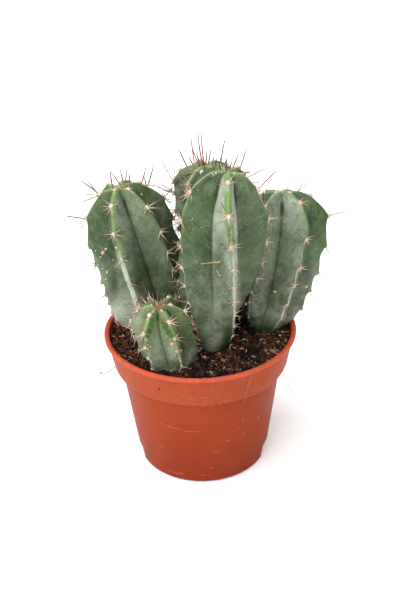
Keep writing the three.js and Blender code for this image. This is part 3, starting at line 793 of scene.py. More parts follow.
def skin_material():
    """Each coat is drawn over the last: flesh, wax, bloom and cork first, then the patches of bloom, painted
    light and painted shade, then what grows or wears along the crests, and the painted shade in the grooves."""
    skin = Finish("cactus_skin")
    lead, lap, band, strip_width = (skin.mask(name) for name in ("lead", "lap", "band", "strip_width"))
    shade = skin.mask("shade")
    feather = skin.noise(1.0, 4, 0.6, skin.scaled((70, 850, 1), "UV", (0, 0, math.radians(50))))
    barbs = skin.noise(1.0, 2, 0.5, skin.scaled((110, 1800, 1), "UV", (0, 0, math.radians(56))))
    mottle = skin.noise(140, 5, 0.62)
    broad = skin.noise(38, 3, 0.55)
    combed = skin.ramp(skin.noise(60, 3, 0.5), 0.35, 0.65)
    grain = skin.noise(900, 4, 0.65)

    wobble = skin.plus(lead, skin.ramp(mottle, 0.3, 0.7, -0.5, 0.5, "LINEAR"))
    edge = skin.maths("ABSOLUTE", skin.plus(lead, skin.ramp(grain, 0.3, 0.7, -0.25, 0.25, "LINEAR")))
    haze = skin.times(skin.ramp(mottle, 0.25, 0.7, 0.55, 1.0), skin.ramp(feather, 0.3, 0.6, 0.7, 1.0))
    thick = skin.times(skin.ramp(mottle, 0.25, 0.6, 0.75, 1.0), skin.ramp(feather, 0.3, 0.6, 0.8, 1.0))
    cork = skin.mix(skin.ramp(mottle, 0.35, 0.62), CORK_DARK, CORK_GREY)
    aged = skin.times(skin.mask("old"), skin.ramp(feather, 0.36, 0.58, 0.18, 1.0))
    beside = skin.times(skin.ramp(wobble, 0.1, -0.5), skin.ramp(skin.plus(wobble, band), -0.1, 0.9),
                        skin.ramp(band, 0.2, 1.0, 0.0, 0.9), skin.ramp(grain, 0.3, 0.6, 0.65, 1.0))
    lapped = skin.plus(wobble, lap)
    left_over = skin.maths("SUBTRACT", strip_width, lapped)
    strip = skin.times(skin.mask("strip"), skin.ramp(lapped, 0.0, 0.8), skin.ramp(left_over, 0.0, 1.6),
                       skin.ramp(mottle, 0.3, 0.6, 0.6, 1.0))
    wet = skin.mix(skin.ramp(mottle, 0.5, 0.8, 0.0, 0.5), BARE_GREEN, FRESH_GREEN)
    worn = skin.times(skin.mask("worn"), skin.ramp(edge, 0.9, 0.35), skin.ramp(grain, 0.3, 0.6, 0.5, 0.95))

    colour = skin.coats(
        skin.mix(skin.ramp(broad, 0.36, 0.64), DEEP_GREEN, LEAF_GREEN),
        (skin.ramp(mottle, 0.4, 0.75, 0.0, 0.58), WAXED_GREEN),
        (skin.times(skin.ramp(feather, 0.46, 0.74, 0.0, 0.42), combed), WAXED_GREEN),
        (skin.ramp(feather, 0.48, 0.3, 0.0, 0.22), SHADE_AND_MARK_GREEN),
        (skin.ramp(barbs, 0.44, 0.64, 0.0, 0.26), WAXED_GREEN),
        (skin.times(skin.mask("bloom"), haze), BLOOM_WHITE),
        (aged, cork),
        (beside, BLOOM_WHITE),
        (skin.mask("sappy"), SAP_GREEN),
        # Pale patches: bloom, and painted light on faces that catch it. Dark patches: painted shade.
        (skin.times(skin.ramp(shade, 0.0, 1.0, kind="LINEAR"), thick), BLOOM_WHITE),
        (skin.ramp(shade, 0.0, -1.0, kind="LINEAR"), DEEP_GREEN),
        (strip, FRESH_GREEN),
        (skin.times(skin.mask("rubbed"), 0.95), wet),
        (skin.times(skin.mask("crown"), 0.5), TIP_GREEN),
        (skin.times(skin.mask("tip"), skin.ramp(edge, 1.4, 0.6, 0.0, 0.95)), TIP_GREEN),
        (worn, WORN_PALE),
        # Painted shade along each groove and at the neck
        (skin.times(skin.mask("crease"), 0.9), SHADE_AND_MARK_GREEN),
        (skin.ramp(grain, 0.52, 0.72, 0.0, 0.55), SHADE_AND_MARK_GREEN),
        (skin.ramp(grain, 0.42, 0.22, 0.0, 0.26), BLOOM_WHITE),
    )
    normal = skin.bump(feather, 0.0004, 0.5)
    normal = skin.bump(mottle, 0.0006, 0.6, normal)
    normal = skin.bump(grain, 0.0003, 0.7, normal)
    return skin.finish(colour, skin.ramp(mottle, 0.3, 0.7, 0.46, 0.66), normal, Specular_IOR_Level=0.28)


SKIN = skin_material()

# %% Build the skins
SKIN_POINTS = {}
SLOW_SWELL, QUICK_SWELL = (0.22, 16, 21), (0.10, 6, 22)


def put_skin(name, stem):
    """The grid's formula, plus two sizes of slow noise so that no flank is
    quite flat. A UV map keeps the distance from the crest and the height."""
    w, radius, angle, away, side, rib, phase, share = skin_grid(stem)
    relief = surface_point(stem, w, radius, angle)
    lift = sum(height * waves(relief, size, seed) for height, size, seed in (SLOW_SWELL, QUICK_SWELL))
    points = surface_point(stem, w, radius + lift * smoothstep(0, 6, radius), angle)
    SKIN_POINTS[name] = points.reshape(-1, 3)
    root = axis_point(stem, -ROOT_DEPTH)
    tip = surface_point(stem, np.array([stem["height"]]), np.zeros(1), np.zeros(1))[0]
    flat, faces = closed_grid(points, root, tip)
    piece = put_mesh(f"{name}_skin", flat * MM, faces, SKIN)
    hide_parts(name)
    for mask, values in skin_masks(name, stem, points, w, away, side, rib, phase, share).items():
        put_mask(piece, mask, np.concatenate([values.ravel(), [values[0].mean(), values[-1].mean()]]))
    chart = piece.data.uv_layers.new(name="skin")
    corner = np.zeros(len(piece.data.loops), dtype=np.int32)
    piece.data.loops.foreach_get("vertex_index", corner)
    sheet = np.stack([away.ravel(), w.ravel()], -1)
    sheet = np.concatenate([sheet, [[0, -ROOT_DEPTH], [0, stem["height"]]]]) * MM
    chart.data.foreach_set("uv", sheet[corner].astype(np.float32).ravel())
    print(piece.name, "has", len(piece.data.polygons), "faces")


for name, stem in STEMS.items():
    put_skin(name, stem)

# %% [markdown]
# On the plant an areole is a small cushion of felt. Each is drawn as a lumpy
# bead, a little taller than wide and half sunk in the crest. The beads of a
# stem are one mesh, worked out as one array.

# %% Areole places
def every_areole():
    """One row for each areole: its stem, rib, order from the tip, height and
    frame."""
    found = []
    for name, stem in STEMS.items():
        for rib in range(stem["ribs"]):
            for order, w in enumerate(areole_heights(stem, rib)):
                place, outward, up, side = crest_frame(stem, rib, w)
                found.append(dict(stem=name, rib=rib, order=order, w=float(w), place=place,
                                  outward=outward, up=up, side=side, share=w / stem["height"]))
    return found


AREOLES = every_areole()
print("areoles:", len(AREOLES))

# %% Areole felt
FELT_RINGS = 7
FELT_SIDES = 10
FELT_SIZE = 1.3
BEAD_SHAPE = np.array([0.95, 1.15, 0.7])
BEAD_LATITUDES = np.linspace(-0.42, 0.48, FELT_RINGS) * np.pi
LUMP_HEIGHT, LUMP_SIZE = 0.3, 1.6
# Rib: how brown its old areoles are, where that isn't the usual
AGED_FELT = {"stem_small": {0: 1.0, 5: 0.5, 1: 1.0}}
USUAL_AGE = 0.25


def aged(areole):
    """How brown an areole is: more so low down, and on the ribs of a table."""
    most = AGED_FELT.get(areole["stem"], {}).get(areole["rib"], USUAL_AGE)
    return most * float(smoothstep(0.95, 0.6, areole["share"]))


def areoles_of(name):
    """A stem's areoles, and arrays of their places and directions."""
    here = [areole for areole in AREOLES if areole["stem"] == name]
    keys = ("place", "outward", "up", "side")
    return here, {key: np.stack([areole[key] for areole in here]) for key in keys}


def felt_material():
    """Cream fluff with tan patches, and brown where it has aged."""
    felt = Finish("areole_felt")
    fluff = felt.noise(1400, 3, 0.7)
    patch = felt.noise(350, 2, 0.5)
    colour = felt.coats(
        felt.mix(felt.ramp(fluff, 0.3, 0.65), paint(206, 176, 148), paint(252, 246, 234)),
        (felt.ramp(patch, 0.48, 0.7, 0, 0.6), paint(220, 184, 150)),
        (felt.mask("aged"), paint(158, 112, 76)),
    )
    return felt.finish(colour, 0.95, felt.bump(fluff, 0.0003, 0.9), Specular_IOR_Level=0.15)


FELT = felt_material()


def put_felt(name):
    """Beads on a grid of latitude and longitude, scaled across, along and out
    of the crest, with lumps from smooth noise."""
    here, ways = areoles_of(name)
    latitude = BEAD_LATITUDES[:, None]
    longitude = np.arange(FELT_SIDES)[None, :] * 2 * np.pi / FELT_SIDES
    bead = np.stack([np.cos(latitude) * np.cos(longitude), np.cos(latitude) * np.sin(longitude),
                     np.sin(latitude) + 0 * longitude], -1)
    basis = np.stack([ways["side"], ways["up"], ways["outward"]], 1)
    size = np.array([FELT_SIZE * (0.42 + 0.58 * min(1, areole["share"] + 0.15)) for areole in here])
    scale = size[:, None] * BEAD_SHAPE
    points = np.einsum("nrcj,njk->nrck", bead[None] * scale[:, None, None, :], basis)
    points += ways["place"][:, None, None, :]
    points += LUMP_HEIGHT * waves(points, LUMP_SIZE, 31, 20)[..., None] * basis[:, None, None, 2]
    block = FELT_RINGS * FELT_SIDES
    starts = np.arange(len(here))[:, None] * block
    quads = (grid_faces(FELT_RINGS, FELT_SIDES)[None] + starts[:, None]).reshape(-1, 4)
    top = starts + block - FELT_SIDES + np.arange(FELT_SIDES)
    bottom = starts + np.arange(FELT_SIDES)[::-1]
    piece = put_mesh(f"{name}_areoles", points * MM, [quads, top, bottom], FELT)
    put_mask(piece, "aged", np.repeat([aged(areole) for areole in here], block))
    print(piece.name, "has", len(here), "beads")


for name in STEMS:
    put_felt(name)

# %% [markdown]
# Spines. Each areole carries a star of up to nine, thin and nearly straight,
# and the longest of them stand out of its middle. Those that show clearly in
# the photograph are placed by the pixel of their point: the point lies on the
# ray through that pixel, a little further out of the rib than the nearest
# place to the areole. All the others follow a seeded rule. A spine is a
# tapered tube of four sides.

# %% Spines seen in the photograph
# Rib and order of the areole: the pixels where its spines end, x and y in turn
SEEN_SPINES = {
    "stem_left": {
        (3, 0): (79, 180, 86.5, 179.5, 82, 195, 79.5, 203.5, 98, 185.5),
        (3, 1): (62.5, 215.5, 82, 211.5, 79, 232.5, 77, 223.5), (3, 2): (84, 242, 89, 253),
        (3, 3): (83, 265.5, 93, 274), (3, 4): (92.5, 287, 98, 278), (3, 5): (95, 301, 99, 292),
        (4, 1): (97, 195, 96.5, 206, 97, 215, 120, 210, 121, 201, 104, 219),
        (4, 2): (101, 234.5, 103, 244, 128, 238, 124, 228, 107, 228),
        (4, 3): (133, 264, 114, 259.5, 130, 252), (4, 4): (121, 283, 139.5, 287, 137, 281, 124, 291),
        (5, 1): (163, 198.5, 164, 208.5, 158, 218.5, 141.5, 221, 138, 209, 149, 200),
        (5, 2): (164.5, 225.5, 171, 232, 164.5, 240.5, 156, 246, 151, 231),
        (5, 3): (177, 245, 178, 253.5, 168.5, 267, 160, 253),
        (5, 4): (183, 265.5, 173, 280.5, 181, 274, 165, 268),
        (0, 0): (165, 186, 172, 189, 160, 191, 176, 192),
    },
    "stem_centre": {
        (4, 0): (245, 179.5, 217.5, 178.5, 213.5, 184.5, 230.5, 188, 236, 173),
        (4, 1): (221, 202, 214.5, 209.5, 217, 226, 229.3, 231, 243.5, 223.5, 240, 209),
        (4, 2): (220, 243.5, 220.5, 257, 247, 247.5, 237, 238, 233, 256),
        (4, 3): (226, 275.5, 242.5, 271.5, 240.5, 263, 224, 266),
        (4, 4): (223, 292, 238, 281, 240, 288, 224, 284), (4, 5): (225, 305, 241, 297, 243, 303),
        (4, 6): (244, 309, 241, 318, 229, 309),
        (3, 0): (176.5, 177.5, 173.5, 201.5, 181, 201, 192, 206, 202, 189.5, 190, 179.5),
        (3, 1): (177, 207.5, 185, 233, 173, 223.5, 175, 213), (3, 2): (172, 240, 175, 252, 186, 250),
        (3, 3): (172, 258.5, 173, 271, 184, 276), (3, 4): (175, 279, 176, 290, 188, 290),
        (0, 0): (278, 168.5, 269, 196.5, 263.5, 199, 248.5, 187, 258, 177),
        (0, 1): (289, 216.5, 268, 226, 274, 208, 261, 222), (0, 2): (279.5, 243, 266.5, 249.5, 274, 233),
        (0, 3): (270, 261.5, 261, 269, 268, 254),
    },
    "stem_back": {
        (3, 1): (160.5, 157, 176, 166, 165, 172), (3, 2): (152, 184.5, 158, 182, 160, 189, 164, 195),
    },
    "stem_right": {
        (0, 1): (347.5, 212, 336, 224, 331.5, 205, 334.5, 209), (0, 2): (329.5, 254, 335, 243, 334, 249),
        (0, 3): (325, 277, 328, 271),
        (5, 1): (304, 194, 311.5, 199, 313, 206, 306.5, 210, 293, 204, 297, 196),
        (5, 2): (317.5, 234, 314.5, 240, 310, 248, 303, 248, 301, 236.5, 307, 230),
        (5, 3): (311, 264.5, 313, 271, 294.5, 274, 301, 276, 297, 263),
        (5, 4): (303, 283, 290, 291, 299, 290), (1, 0): (307, 177.5, 300, 185, 311, 182),
    },
    "stem_small": {
        (3, 1): (123.5, 331, 124, 318, 128, 326), (5, 0): (184, 313.5, 187, 321.5, 181.5, 326.5, 175, 312),
        (5, 1): (181.5, 331, 186, 337, 169, 344), (0, 1): (195.5, 303, 191, 305, 194, 312),
        (0, 2): (198, 322, 201, 329, 199, 336), (2, 0): (144, 285, 148, 289),
        (4, 1): (134, 334, 150, 336, 138, 341), (4, 2): (132, 356, 149, 352, 137, 351),
    },
}
# Spines of a crown: pixel of the point, pixel of the root, and how red, or -1
# for a pale old spine
CROWN_SPINES = {
    "stem_back": (
        (191, 138, 192, 162, 0.45), (198.8, 134.8, 203, 164, 0.9), (201.6, 134.8, 204.5, 164, 1),
        (193.3, 150.6, 199, 165, 0.2), (210.9, 149.4, 207.5, 163, 0.1), (225.4, 139, 221, 163, 0.1),
        (220, 158, 222.5, 166, 0), (178.8, 149.4, 185, 164, 0), (188.8, 156, 193, 165, 0.4),
        (196, 152, 200.5, 164, 0.3), (206.5, 152, 205.5, 163, 0.5), (214, 156, 212, 163, 0),
        (216.5, 158.5, 215, 164, 0), (227, 158, 225, 164, 0), (182.5, 174, 196.8, 170.2, -1),
        (185, 177.5, 196.8, 170.2, -1), (204.5, 168.5, 196.8, 170.2, -1), (189.5, 168.5, 196.8, 170.2, -1),
        (199, 178, 196.8, 170.2, -1),
    ),
    "stem_centre": (
        (238.2, 154.5, 229.5, 170, 0), (246.6, 148.8, 241, 170, 0.15), (212, 163, 215, 172, 0),
        (232, 161, 229, 170, 0), (205, 180, 215, 173, 0), (219, 162, 221, 171, 0), (253, 172, 241, 172, 0),
        (227, 162, 226, 171, 0), (257, 169, 244, 171.5, -1), (269, 167.4, 249, 175.6, -1),
        (263, 170, 249, 175.6, -1),
    ),
    "stem_left": (
        (110.5, 171.5, 111.5, 187, 0.1), (112, 173, 122, 187, 0.35), (120, 169.5, 124.5, 187, 0),
        (126.5, 170, 125.5, 187, 0.35), (129, 173, 130, 187, 0), (145.5, 168.5, 141.5, 184, 0),
        (153.5, 165.5, 148, 186, 0), (144.5, 178, 148, 186, 0),
    ),
    "stem_small": (
        (143.5, 285, 152, 303, 0.1), (157, 294, 158.5, 308, 0.5), (164, 296, 161, 308, 0.35),
        (168, 301, 162, 308, 0.2), (150, 299, 156, 308, 0.3), (161, 299, 159, 308, 0.6),
        (153, 294, 157, 308, 0.4), (154, 304, 158, 310, 0.5), (166, 306, 160, 310, 0.3),
    ),
    "stem_right": (
        (283.5, 181, 283.5, 192, -1), (278, 185, 282, 192, -1), (289, 183, 286, 192, -1),
        (277, 189, 283, 192, -1), (287, 187, 285, 192, -1),
    ),
}
# Stem, rib and order of areoles whose old spines are thin and pale
PALE_STARS = {("stem_left", 0, 0)}
OUTWARD_SHARE = 1.06


def pairs(numbers):
    """Pixels out of a row of x and y in turn."""
    return np.reshape(numbers, (-1, 2)).astype(float)


def aimed_at(areole, pixel):
    """The point on the pixel's ray at a little more than the least distance
    from the areole, on the side that faces out of the rib."""
    ray = ray_through(pixel)
    place = areole["place"] * MM
    depth = (place - eye) @ ray
    nearest = eye + depth * ray
    distance = np.linalg.norm(nearest - place)
    slide = distance * math.sqrt(OUTWARD_SHARE**2 - 1)
    ends = [nearest + slide * ray, nearest - slide * ray]
    return max(ends, key=lambda end: (end - place) @ areole["outward"]) / MM


# A full star of side spines: degrees round from the top, and lengths in mm
STAR_TURNS = np.array([35, -38, 82, -80, 128, -125, 178])
STAR_LENGTHS = np.array([4.6, 4.8, 7.2, 7.0, 8.6, 8.8, 8.2])
# Where the photograph shows few spines low down: the share of the height
SPARSE_BELOW = {"stem_right": 0.5, "stem_small": 0.5}
USUAL_SPARSE_BELOW = 0.25


def ruled_star(areole, random, few):
    """Ends of a star of spines: side spines leaning far out, longer towards
    the lower end, and one or two that stand out of the middle, or none where
    few are wanted."""
    number = len(STAR_TURNS)
    size = 0.62 + 0.38 * smoothstep(0.1, 0.75, areole["share"])
    turns = STAR_TURNS + random.uniform(-14, 14, number)
    lengths = STAR_LENGTHS * random.uniform(0.8, 1.15, number) * size
    tilts = random.uniform(64, 80, number)
    few = few or areole["share"] < SPARSE_BELOW.get(areole["stem"], USUAL_SPARSE_BELOW)
    most = 2 if few else 3 + 4 * float(smoothstep(0.15, 0.6, areole["share"]))
    keep = random.permutation(number)[: max(1, round(most + random.uniform(-1, 1)))]
    star = [(tilts[i], turns[i], lengths[i]) for i in keep]
    for _ in range(0 if few else 1 + int(areole["order"] < 2)):
        star.append((random.uniform(6, 34), random.uniform(-180, 180), random.uniform(8.5, 12.5) * size))
    ends = []
    for tilt, turn, length in star:
        lift, fan = math.cos(math.radians(tilt)), math.sin(math.radians(tilt))
        way = (lift * areole["outward"] + fan * math.cos(math.radians(turn)) * areole["up"]
               + fan * math.sin(math.radians(turn)) * areole["side"])
        ends.append(areole["place"] + length * way)
    return ends

# %% [markdown]
# On a real clump the spines of neighbours have grown past each other. A ruled
# star knows nothing of them, so a spine that would run into a stem or into
# the peat is left out.

# %% Clear of the neighbours
CHECKED_SHARES = (0.45, 0.7, 1.0)


def within_stem(point):
    """Whether a point lies in any stem: nearer its axis than the ribbed wall,
    which swings between the crest and the groove radius."""
    for stem in STEMS.values():
        w = point[2] - GROUND
        if w > stem["height"] - 1 or w < 0:
            continue
        across, side, _ = axis_frame(stem, w)
        offset = point - axis_point(stem, w)
        x, y = offset @ across, offset @ side
        turned = (math.atan2(y, x) - float(crest_angle(stem, 0, w))) * stem["ribs"] / (2 * np.pi)
        off = 2 * abs(turned - round(turned))
        wall = float(crest_radius(stem, w)) * (1 - (1 - stem["groove"]) * off**0.75)
        if math.hypot(x, y) < wall:
            return True
    return False


def stands_free(start, end):
    """A spine is kept if its outer half is outside every stem and its point
    is above the peat."""
    steps = [start + (end - start) * t for t in CHECKED_SHARES]
    return end[2] > GROUND + 0.5 and not any(within_stem(step) for step in steps)

# %% Spine tubes
SPINE_SIDES = 4
SPINE_RINGS = 6
SPINE_TAPER = 0.35
SIDE_SPINE_RADIUS = 0.27
LONG_SPINE_RADIUS = 0.5
PALE_SPINE_RADIUS = 0.24
SHORT_SPINE, LONG_SPINE = 5, 15
ROOT_SUNK = 0.8
CROWN_DEPTH = 12
CROWN_STRETCH = 1.1
BLUNT = 0.3
CLOSE_PIXELS = 1.5


def rings_round(way, sides):
    """A ring of unit length square to each of the directions given."""
    helper = np.where(np.abs(way[:, 2:]) > 0.9, [[1.0, 0, 0]], [[0, 0, 1.0]])
    first = np.cross(way, helper)
    first /= np.linalg.norm(first, axis=1, keepdims=True)
    second = np.cross(way, first)
    angle = (np.arange(sides) * 2 * np.pi / sides)[None, :, None]
    return np.cos(angle) * first[:, None] + np.sin(angle) * second[:, None]


def tubes(starts, ends, bows, radii, sides, rings, taper=0.5):
    """Tapered tubes: the centre line is the straight line plus the bow times
    4t(1-t), and the radius falls as (1-t) to the power taper, to a blunt end.
    Returns points of shape (n, rings, sides, 3), and the share t of each."""
    t = np.linspace(0, 1, rings)
    line = starts[:, None] + (ends - starts)[:, None] * t[None, :, None]
    line = line + bows[:, None] * (4 * t * (1 - t))[None, :, None]
    way = ends - starts
    ring = rings_round(way / np.linalg.norm(way, axis=1, keepdims=True), sides)
    radius = radii[:, None] * np.maximum((1 - t) ** taper, BLUNT)[None]
    points = line[:, :, None] + ring[:, None] * radius[:, :, None, None]
    return points, np.broadcast_to(t[None, :, None], points.shape[:3])


def tube_faces(count, sides, rings):
    """Walls of every tube, with a cap at each end."""
    block = sides * rings
    starts = (np.arange(count) * block)[:, None]
    walls = (grid_faces(rings, sides)[None] + starts[:, :, None]).reshape(-1, 4)
    low = starts + np.arange(sides)[::-1]
    high = starts + block - sides + np.arange(sides)
    return [walls, low, high]

# %% Spines of a stem
def skin_place(name, pixel):
    """The point of a stem's skin that the camera sees at a pixel: of those
    within a pixel and a half, the nearest to the eye."""
    pixels, depth = seen_at(SKIN_POINTS[name] * MM)
    off = np.linalg.norm(pixels - pixel, axis=1)
    close = off < max(CLOSE_PIXELS, off.min() + 0.1)
    return SKIN_POINTS[name][np.where(close, depth, np.inf).argmin()]


def spine_list(name, random):
    """Root, point, radius, redness and darkness of every spine of a stem."""
    rows = []
    for areole in (a for a in AREOLES if a["stem"] == name):
        seen = SEEN_SPINES[name].get((areole["rib"], areole["order"]), ())
        ends = [aimed_at(areole, pixel) for pixel in pairs(seen)]
        turned_away = areole["outward"] @ forward
        behind = turned_away > 0.25 and areole["share"] > 0.8
        if areole["share"] < (0.86 if turned_away > -0.2 else 0.93):
            ends += ruled_star(areole, random, few=behind or bool(seen))
        pale = (name, areole["rib"], areole["order"]) in PALE_STARS
        root = areole["place"] - ROOT_SUNK * areole["outward"]
        for end in (end for end in ends if stands_free(areole["place"], end)):
            stout = float(smoothstep(SHORT_SPINE, LONG_SPINE, np.linalg.norm(end - areole["place"])))
            radius = SIDE_SPINE_RADIUS + (LONG_SPINE_RADIUS - SIDE_SPINE_RADIUS) * stout
            look = (PALE_SPINE_RADIUS, 0.0, -0.6) if pale else (radius, 0.0, 0.6 * stout + 0.6 * aged(areole))
            rows.append((root, end, *look))
    for *tip, base_x, base_y, redness in CROWN_SPINES[name]:
        place = skin_place(name, (base_x, base_y))
        outward = place - axis_point(STEMS[name], place[2] - GROUND - CROWN_DEPTH)
        crown = dict(place=place, outward=outward / np.linalg.norm(outward))
        root = place - ROOT_SUNK * crown["outward"]
        look = (LONG_SPINE_RADIUS, redness, 0.9) if redness >= 0 else (SIDE_SPINE_RADIUS, 0, -0.5)
        rows.append((root, root + CROWN_STRETCH * (aimed_at(crown, tip) - root), *look))
    return rows

# %% Spine finish and meshes
def spine_material():
    """Pale at the root and dark at the point, or red where a spine is young."""
    spine = Finish("spines")
    along, tone, young, dusk = (spine.mask(name) for name in ("along", "tone", "young", "dusk"))
    pale = spine.mix(tone, paint(242, 224, 200), paint(204, 166, 136))
    dark = spine.mix(tone, paint(140, 98, 76), paint(70, 48, 44))
    reach = spine.plus(along, spine.times(dusk, 0.45))
    red = spine.coats(
        spine.mix(tone, paint(222, 66, 44), paint(216, 124, 72)),
        (spine.ramp(along, 0.2, 0.6), paint(130, 76, 66)),
        (spine.ramp(along, 0.55, 0.95), paint(104, 88, 78)),
    )
    colour = spine.coats(pale, (spine.ramp(reach, 0.25, 0.95), dark), (young, red))
    return spine.finish(colour, 0.5, Specular_IOR_Level=0.35)


SPINE = spine_material()


def put_spines(name, seed):
    """All the spines of a stem, each bowed a little to one side."""
    random = np.random.default_rng(seed)
    rows = spine_list(name, random)
    starts, ends = (np.stack([row[i] for row in rows]) for i in (0, 1))
    radii, young, dusk = (np.array([row[i] for row in rows]) for i in (2, 3, 4))
    lengths = np.linalg.norm(ends - starts, axis=1, keepdims=True)
    bows = random.normal(size=starts.shape) * 0.018 * lengths
    points, along = tubes(starts, ends, bows, radii, SPINE_SIDES, SPINE_RINGS, SPINE_TAPER)
    faces = tube_faces(len(rows), SPINE_SIDES, SPINE_RINGS)
    piece = put_mesh(f"{name}_spines", points * MM, faces, SPINE)
    put_mask(piece, "along", along)
    tone = random.uniform(0, 1, len(rows))
    for mask, values in (("tone", tone), ("young", young), ("dusk", dusk)):
        put_mask(piece, mask, np.repeat(values, SPINE_RINGS * SPINE_SIDES))
    print(piece.name, "has", len(rows), "spines, the longest", round(float(lengths.max()), 1), "mm")


for seed, name in enumerate(STEMS):
    put_spines(name, 100 + seed)

# %% [markdown]
# The cushions are woolly at the edge. A few short, thin hairs that spread
# from each bead show that better than a finer bead would.

# %% Wool round the areoles
WOOL_HAIRS = 11
WOOL_RADIUS = 0.11
WOOL_SIDES = WOOL_RINGS = 3


def wool_material():
    """Cream or tan hair by hair, and brown where it has aged."""
    wool = Finish("areole_wool")
    fresh = wool.mix(wool.mask("tone"), paint(246, 236, 222), paint(214, 176, 146))
    colour = wool.mix(wool.mask("aged"), fresh, paint(150, 104, 76))
    return wool.finish(colour, 0.9, Specular_IOR_Level=0.1)


WOOL = wool_material()


def put_wool(name, seed):
    """Short hairs that spread from each areole, a few for every bead."""
    random = np.random.default_rng(seed)
    here, ways = areoles_of(name)
    place, outward, up, side = (ways[key][:, None] for key in ("place", "outward", "up", "side"))
    shape = (len(here), WOOL_HAIRS, 1)
    turn, tilt = random.uniform(0, 2 * np.pi, shape), np.radians(random.uniform(30, 88, shape))
    way = np.cos(tilt) * outward + np.sin(tilt) * (np.cos(turn) * up + np.sin(turn) * side)
    share = np.array([areole["share"] for areole in here])[:, None, None]
    length = random.uniform(1.3, 2.6, shape) * (0.35 + 0.65 * share)
    starts = (place + 0 * way).reshape(-1, 3)
    ends = (place + way * length).reshape(-1, 3)
    count = len(starts)
    bows = random.normal(0, 0.12, (count, 3))
    points, _ = tubes(starts, ends, bows, np.full(count, WOOL_RADIUS), WOOL_SIDES, WOOL_RINGS)
    faces = tube_faces(count, WOOL_SIDES, WOOL_RINGS)
    piece = put_mesh(f"{name}_wool", points * MM, faces, WOOL)
    corners = WOOL_SIDES * WOOL_RINGS
    put_mask(piece, "tone", np.repeat(random.uniform(0, 1, count), corners))
    put_mask(piece, "aged", np.repeat([aged(areole) for areole in here], WOOL_HAIRS * corners))
    print(piece.name, "has", count, "hairs")


for seed, name in enumerate(STEMS):
    put_wool(name, 200 + seed)

# %% [markdown]
# The pot is moulded thin from terracotta-coloured plastic: a tapered wall, a
# wide collar that stiffens it, a rolled lip, and sloping drain recesses at
# its foot. It is a profile turned about the upright axis. The foot is drawn
# in wherever a recess is, on the inside and the outside alike, so that the
# wall keeps its thickness.

# %% Pot surface
POT_HEIGHT = 90.4
LIP_HEIGHT = 2.8
LIP_RADIUS = 60.0
WALL = 1.2
FLOOR = 2.4
COLLAR_TOP, COLLAR_LOW, COLLAR_BASE = 58.3, 54.9, 68.2
BODY_TOP, BODY_LOW, CORNER = 50.6, 42.4, 2.6
RECESS_HEIGHT = 9.6
RECESS_DEPTH = 6.4
RECESS_EDGE = 1.0
# Middle and half width of each recess, in degrees
RECESSES = ((-6, 22), (84, 22), (179, 25))
RECESS_FLARE = 1.2
OPEN_OUT = 12.0
NO_LIMIT = 1e3
POT_COLUMNS = 240
CORNER_CUT = 0.8
LONGEST_STRETCH = 3.0


def soften(profile, cut, steps=5):
    """Rounds each corner of a profile: a quadratic curve from a point short
    of the corner to one just past it, steered by the corner."""
    points = [profile[0]]
    for before, corner, after in zip(profile[:-2], profile[1:-1], profile[2:]):
        arms = [np.array(before) - corner, np.array(after) - corner]
        spans = [np.linalg.norm(arm) for arm in arms]
        ends = [corner + arm * min(cut / span, 0.45) for arm, span in zip(arms, spans)]
        for t in np.linspace(0, 1, steps):
            points.append((1 - t) ** 2 * ends[0] + 2 * t * (1 - t) * np.array(corner) + t * t * ends[1])
    points.append(profile[-1])
    return np.array(points, float)


def fill_in(profile, longest):
    """Adds points along straight stretches longer than a length."""
    rows = [profile[:1]]
    for start, end in zip(profile[:-1], profile[1:]):
        pieces = max(1, int(np.ceil(np.linalg.norm(end - start) / longest)))
        rows.append(start + (end - start) * (np.arange(1, pieces + 1) / pieces)[:, None])
    return np.concatenate(rows)


def pot_profile():
    """Radius and height down the middle of the floor, up the outside, over
    the lip and down the inside."""
    lip_base = POT_HEIGHT - LIP_HEIGHT
    outside = [
        (0.5, 0.9), (30, 0.9), (32, 0), (BODY_LOW - 2.4, 0), (BODY_LOW - 0.4, 1.0), (BODY_LOW, CORNER + 1),
        (BODY_TOP, COLLAR_BASE - 1.4), (COLLAR_LOW - 0.6, COLLAR_BASE), (COLLAR_LOW + 0.1, COLLAR_BASE + 1.6),
        (COLLAR_TOP, lip_base), (LIP_RADIUS - 0.1, lip_base + 0.2), (LIP_RADIUS, POT_HEIGHT - 0.4),
        (LIP_RADIUS - 1.2, POT_HEIGHT + 0.1), (COLLAR_TOP - WALL - 0.3, POT_HEIGHT - 0.7),
    ]
    inside = [
        (COLLAR_TOP - WALL, lip_base - 1), (COLLAR_LOW - WALL, COLLAR_BASE + 2),
        (BODY_TOP - WALL, COLLAR_BASE - 1), (BODY_LOW - WALL, CORNER + FLOOR),
        (BODY_LOW - 5, FLOOR), (0.5, FLOOR),
    ]
    corners = [np.array(corner, float) for corner in outside + inside]
    return fill_in(soften(corners, CORNER_CUT), LONGEST_STRETCH)


def recess_radius(z, degrees, inset):
    """The furthest out that the wall may be: the cone of a recess inside its
    sector, eased out to no limit over its edge."""
    cone = BODY_LOW - RECESS_DEPTH + (RECESS_DEPTH + RECESS_FLARE) * z / RECESS_HEIGHT - inset
    limit = np.full(np.broadcast_shapes(z.shape, degrees.shape), NO_LIMIT)
    for azimuth, half in RECESSES:
        off = np.abs((degrees - azimuth + 180) % 360 - 180)
        eased = OPEN_OUT * smoothstep(half - RECESS_EDGE, half + RECESS_EDGE, off)
        limit = np.minimum(limit, cone + eased)
    return limit


def pot_angles():
    """Even columns, with more of them across each edge of a recess."""
    even = np.arange(POT_COLUMNS) * 360 / POT_COLUMNS
    edges = [azimuth + sign * half + step for azimuth, half in RECESSES for sign in (-1, 1)
             for step in np.linspace(-RECESS_EDGE, RECESS_EDGE, 5)]
    return np.unique(np.round(np.mod(np.concatenate([even, edges]), 360), 3))
